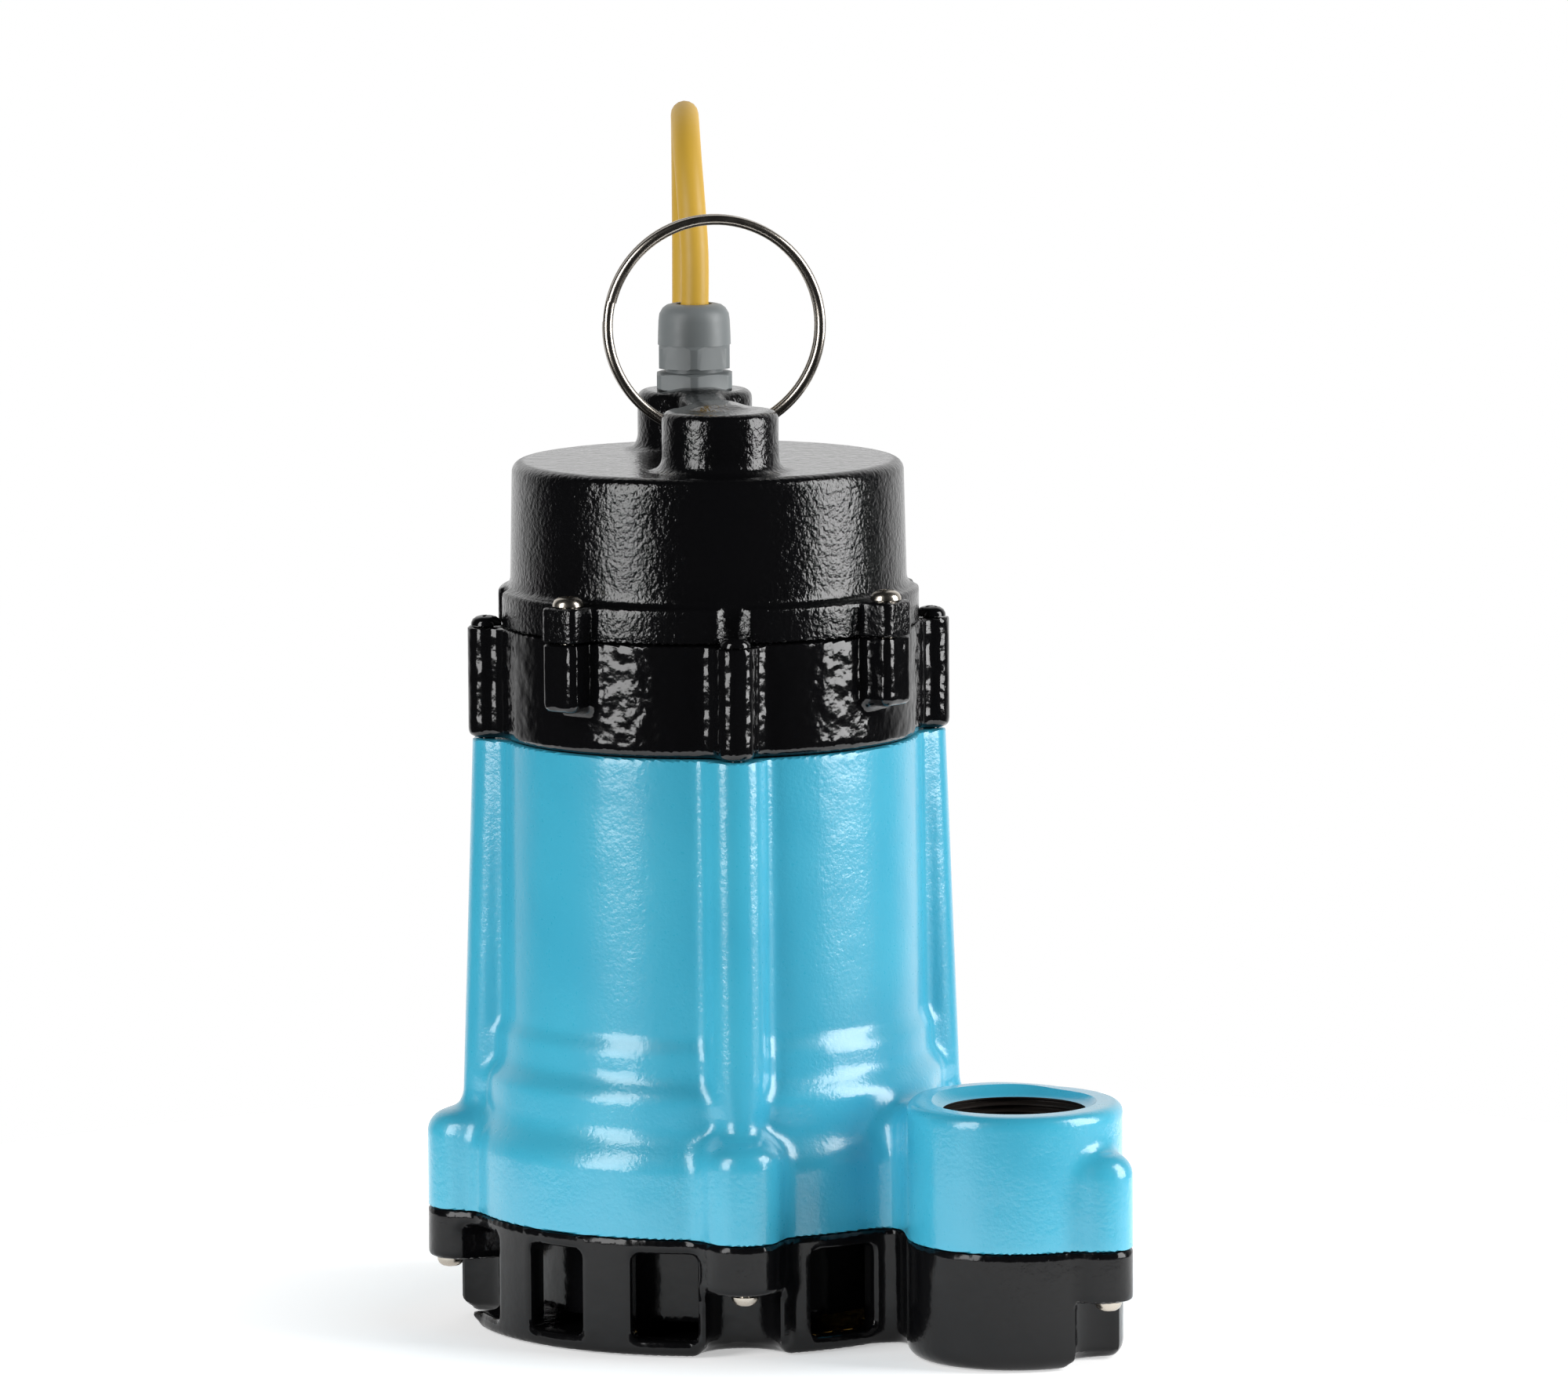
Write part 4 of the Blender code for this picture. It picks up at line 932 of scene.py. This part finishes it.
def make_gland(finish):
    """The gland's hexagon body, screwed into the cap, and its domed hexagon nut, both hollow for the cord."""
    at = tuple(GLAND_AT[:2])
    bottom = HANDLE_TOP + GAP
    flats = chamfered_hexagon(27.2, at, bottom, bottom + 5.1, GLAND_TURN, 0.6)
    barrel = lathe([
        (9.0, 304), (9.0, bottom + 1), (10.5, bottom + 1), (10.5, 275.8), (4.8, 275.8), (4.8, 296),
        (7.3, 296), (7.3, 304)], at=at)
    bore = cylinder_mesh([at], 8.5, bottom - 1, bottom + 8)
    body = combined(cut(flats, bore), "UNION", barrel)
    place_piece("gland_body_moulding", body, finish, "gland_body")
    dome = lathe([
        (0, GLAND_TOP), (7.2, GLAND_TOP), (8.6, GLAND_TOP - 0.35), (9.9, GLAND_TOP - 1.3),
        (10.9, GLAND_TOP - 3.0), (11.2, GLAND_TOP - 5.2), (11.35, 306), (11.45, 302.1), (0, 302.1)], at=at)
    nut = combined(dome, "UNION", chamfered_hexagon(25.6, at, 294.8, 302.8, GLAND_TURN, 1.6))
    hollow = lathe([
        (0, 330), (5.6, 330), (5.6, GLAND_TOP - 0.8), (4.8, GLAND_TOP - 1.4), (4.8, 310), (9.4, 305),
        (9.4, 290), (0, 290)], at=at)
    place_piece("gland_nut_moulding", cut(nut, hollow), finish, "gland_nut")


make_base(BLACK_BASE)
make_housing(BLUE, BORE_METAL)
make_bracket(BLACK_BRACKET)
make_cap(BLACK_CAP)
make_screws("cap_screw", screw_mesh(4.75, 2.4, SCREW_HEIGHT, 24), STAINLESS,
            places(CAP_SCREW_CIRCLE, QUARTERS), FLANGE_TOP + GAP)
make_screws("bracket_screw", screw_mesh(4.75, 2.4, SCREW_HEIGHT, 58), BLACK_BRACKET,
            places(LUG_SCREW_CIRCLE, CORNERS), CAP_BOTTOM)
make_screws("base_screw", screw_mesh(4.2, 2.1, SCREW_HEIGHT, 30), STAINLESS,
            [*places(BASE_SCREW_CIRCLE, CORNERS), (OUTLET_SCREW_X, 0)], EAR_BOTTOM - GAP, upright=False)
make_lift_ring(WIRE_STEEL)
make_gland(NYLON)

# --- Light and floor --------------------------------------------------------------------------------------

WORLD_FRONT = 0.012
FLOOR_RADIUS = 0.42
FLOOR_GLOW = 1.0
FLOOR_GLOW_NEAR = 0.45
SOFTBOX_DISTANCE = 1.5
SOFTBOX_BOTTOM = 0.03
SOFTBOX_TOP = 1.6


def view_direction(aside):
    """A level unit vector at an angle to the right of the way back to the camera."""
    azimuth = math.radians(CAMERA_AZIMUTH + aside)
    return Vector((math.sin(azimuth), -math.cos(azimuth), 0))


def make_softbox(name, aside, width, radiance):
    """A tall area light that faces the shaft. One of P watts and A square metres glows P / (pi A)."""
    height = SOFTBOX_TOP - SOFTBOX_BOTTOM
    data = bpy.data.lights.new(name, "AREA")
    data.shape = "RECTANGLE"
    data.size, data.size_y = width, height
    data.energy = radiance * math.pi * width * height
    light = add_object(name, data)
    back = view_direction(aside)
    middle = back * SOFTBOX_DISTANCE + Vector((0, 0, (SOFTBOX_BOTTOM + SOFTBOX_TOP) / 2))
    light.matrix_world = Matrix.Translation(middle) @ back.to_track_quat("Z", "Y").to_matrix().to_4x4()


def make_world():
    """A studio that is white to the camera, and to reflections white behind the pump and dark before it."""
    world = bpy.data.worlds.new("studio")
    world.use_nodes = True
    nodes, links = world.node_tree.nodes, world.node_tree.links
    coordinates = nodes.new("ShaderNodeTexCoord")
    facing = nodes.new("ShaderNodeVectorMath")
    facing.operation = "DOT_PRODUCT"
    facing.inputs[1].default_value = -view_direction(0)
    links.new(coordinates.outputs["Generated"], facing.inputs[0])
    backdrop = nodes.new("ShaderNodeMapRange")
    backdrop.interpolation_type = "SMOOTHSTEP"
    limits = {"From Min": 0.3, "From Max": 0.85, "To Min": WORLD_FRONT, "To Max": 1.0}
    for socket, number in limits.items():
        backdrop.inputs[socket].default_value = number
    links.new(facing.outputs["Value"], backdrop.inputs["Value"])
    seen = nodes.new("ShaderNodeLightPath")
    brighter = nodes.new("ShaderNodeMath")
    brighter.operation = "MAXIMUM"
    links.new(seen.outputs["Is Camera Ray"], brighter.inputs[0])
    links.new(backdrop.outputs["Result"], brighter.inputs[1])
    links.new(brighter.outputs["Value"], nodes["Background"].inputs["Strength"])
    nodes["Background"].inputs["Color"].default_value = (1, 1, 1, 1)
    bpy.context.scene.world = world
    bpy.context.scene.view_settings.view_transform = "Standard"


def make_floor():
    """A pale disc that glows evenly away from the pump, so that it meets the white studio without an edge."""
    shape = bmesh.new()
    bmesh.ops.create_circle(shape, cap_ends=True, segments=96, radius=FLOOR_RADIUS,
                            matrix=Matrix.Translation((0.02, 0.03, -0.0002)))
    mesh = bpy.data.meshes.new("floor")
    shape.to_mesh(mesh)
    shape.free()
    finish = Finish("pale_floor", (0.9, 0.9, 0.9), 0.8)
    finish.vary("Roughness", finish.ramp(finish.noise(30.0), 0.3, 0.7, 0.75, 0.85))
    finish.set(**{"Emission Color": (1, 1, 1, 1), "Specular IOR Level": 0.0})
    away = finish.tree.nodes.new("ShaderNodeVectorMath")
    away.operation = "LENGTH"
    finish.tree.links.new(finish.coordinates, away.inputs[0])
    glow = finish.ramp(away.outputs["Value"], 0.1, 0.3, FLOOR_GLOW_NEAR, FLOOR_GLOW)
    finish.vary("Emission Strength", glow)
    mesh.materials.append(finish.material)
    add_object("floor", mesh)


make_world()
make_floor()
make_softbox("left_softbox", -49.5, 0.62, 7.0)
make_softbox("right_softbox", 79.0, 0.8, 8.5)
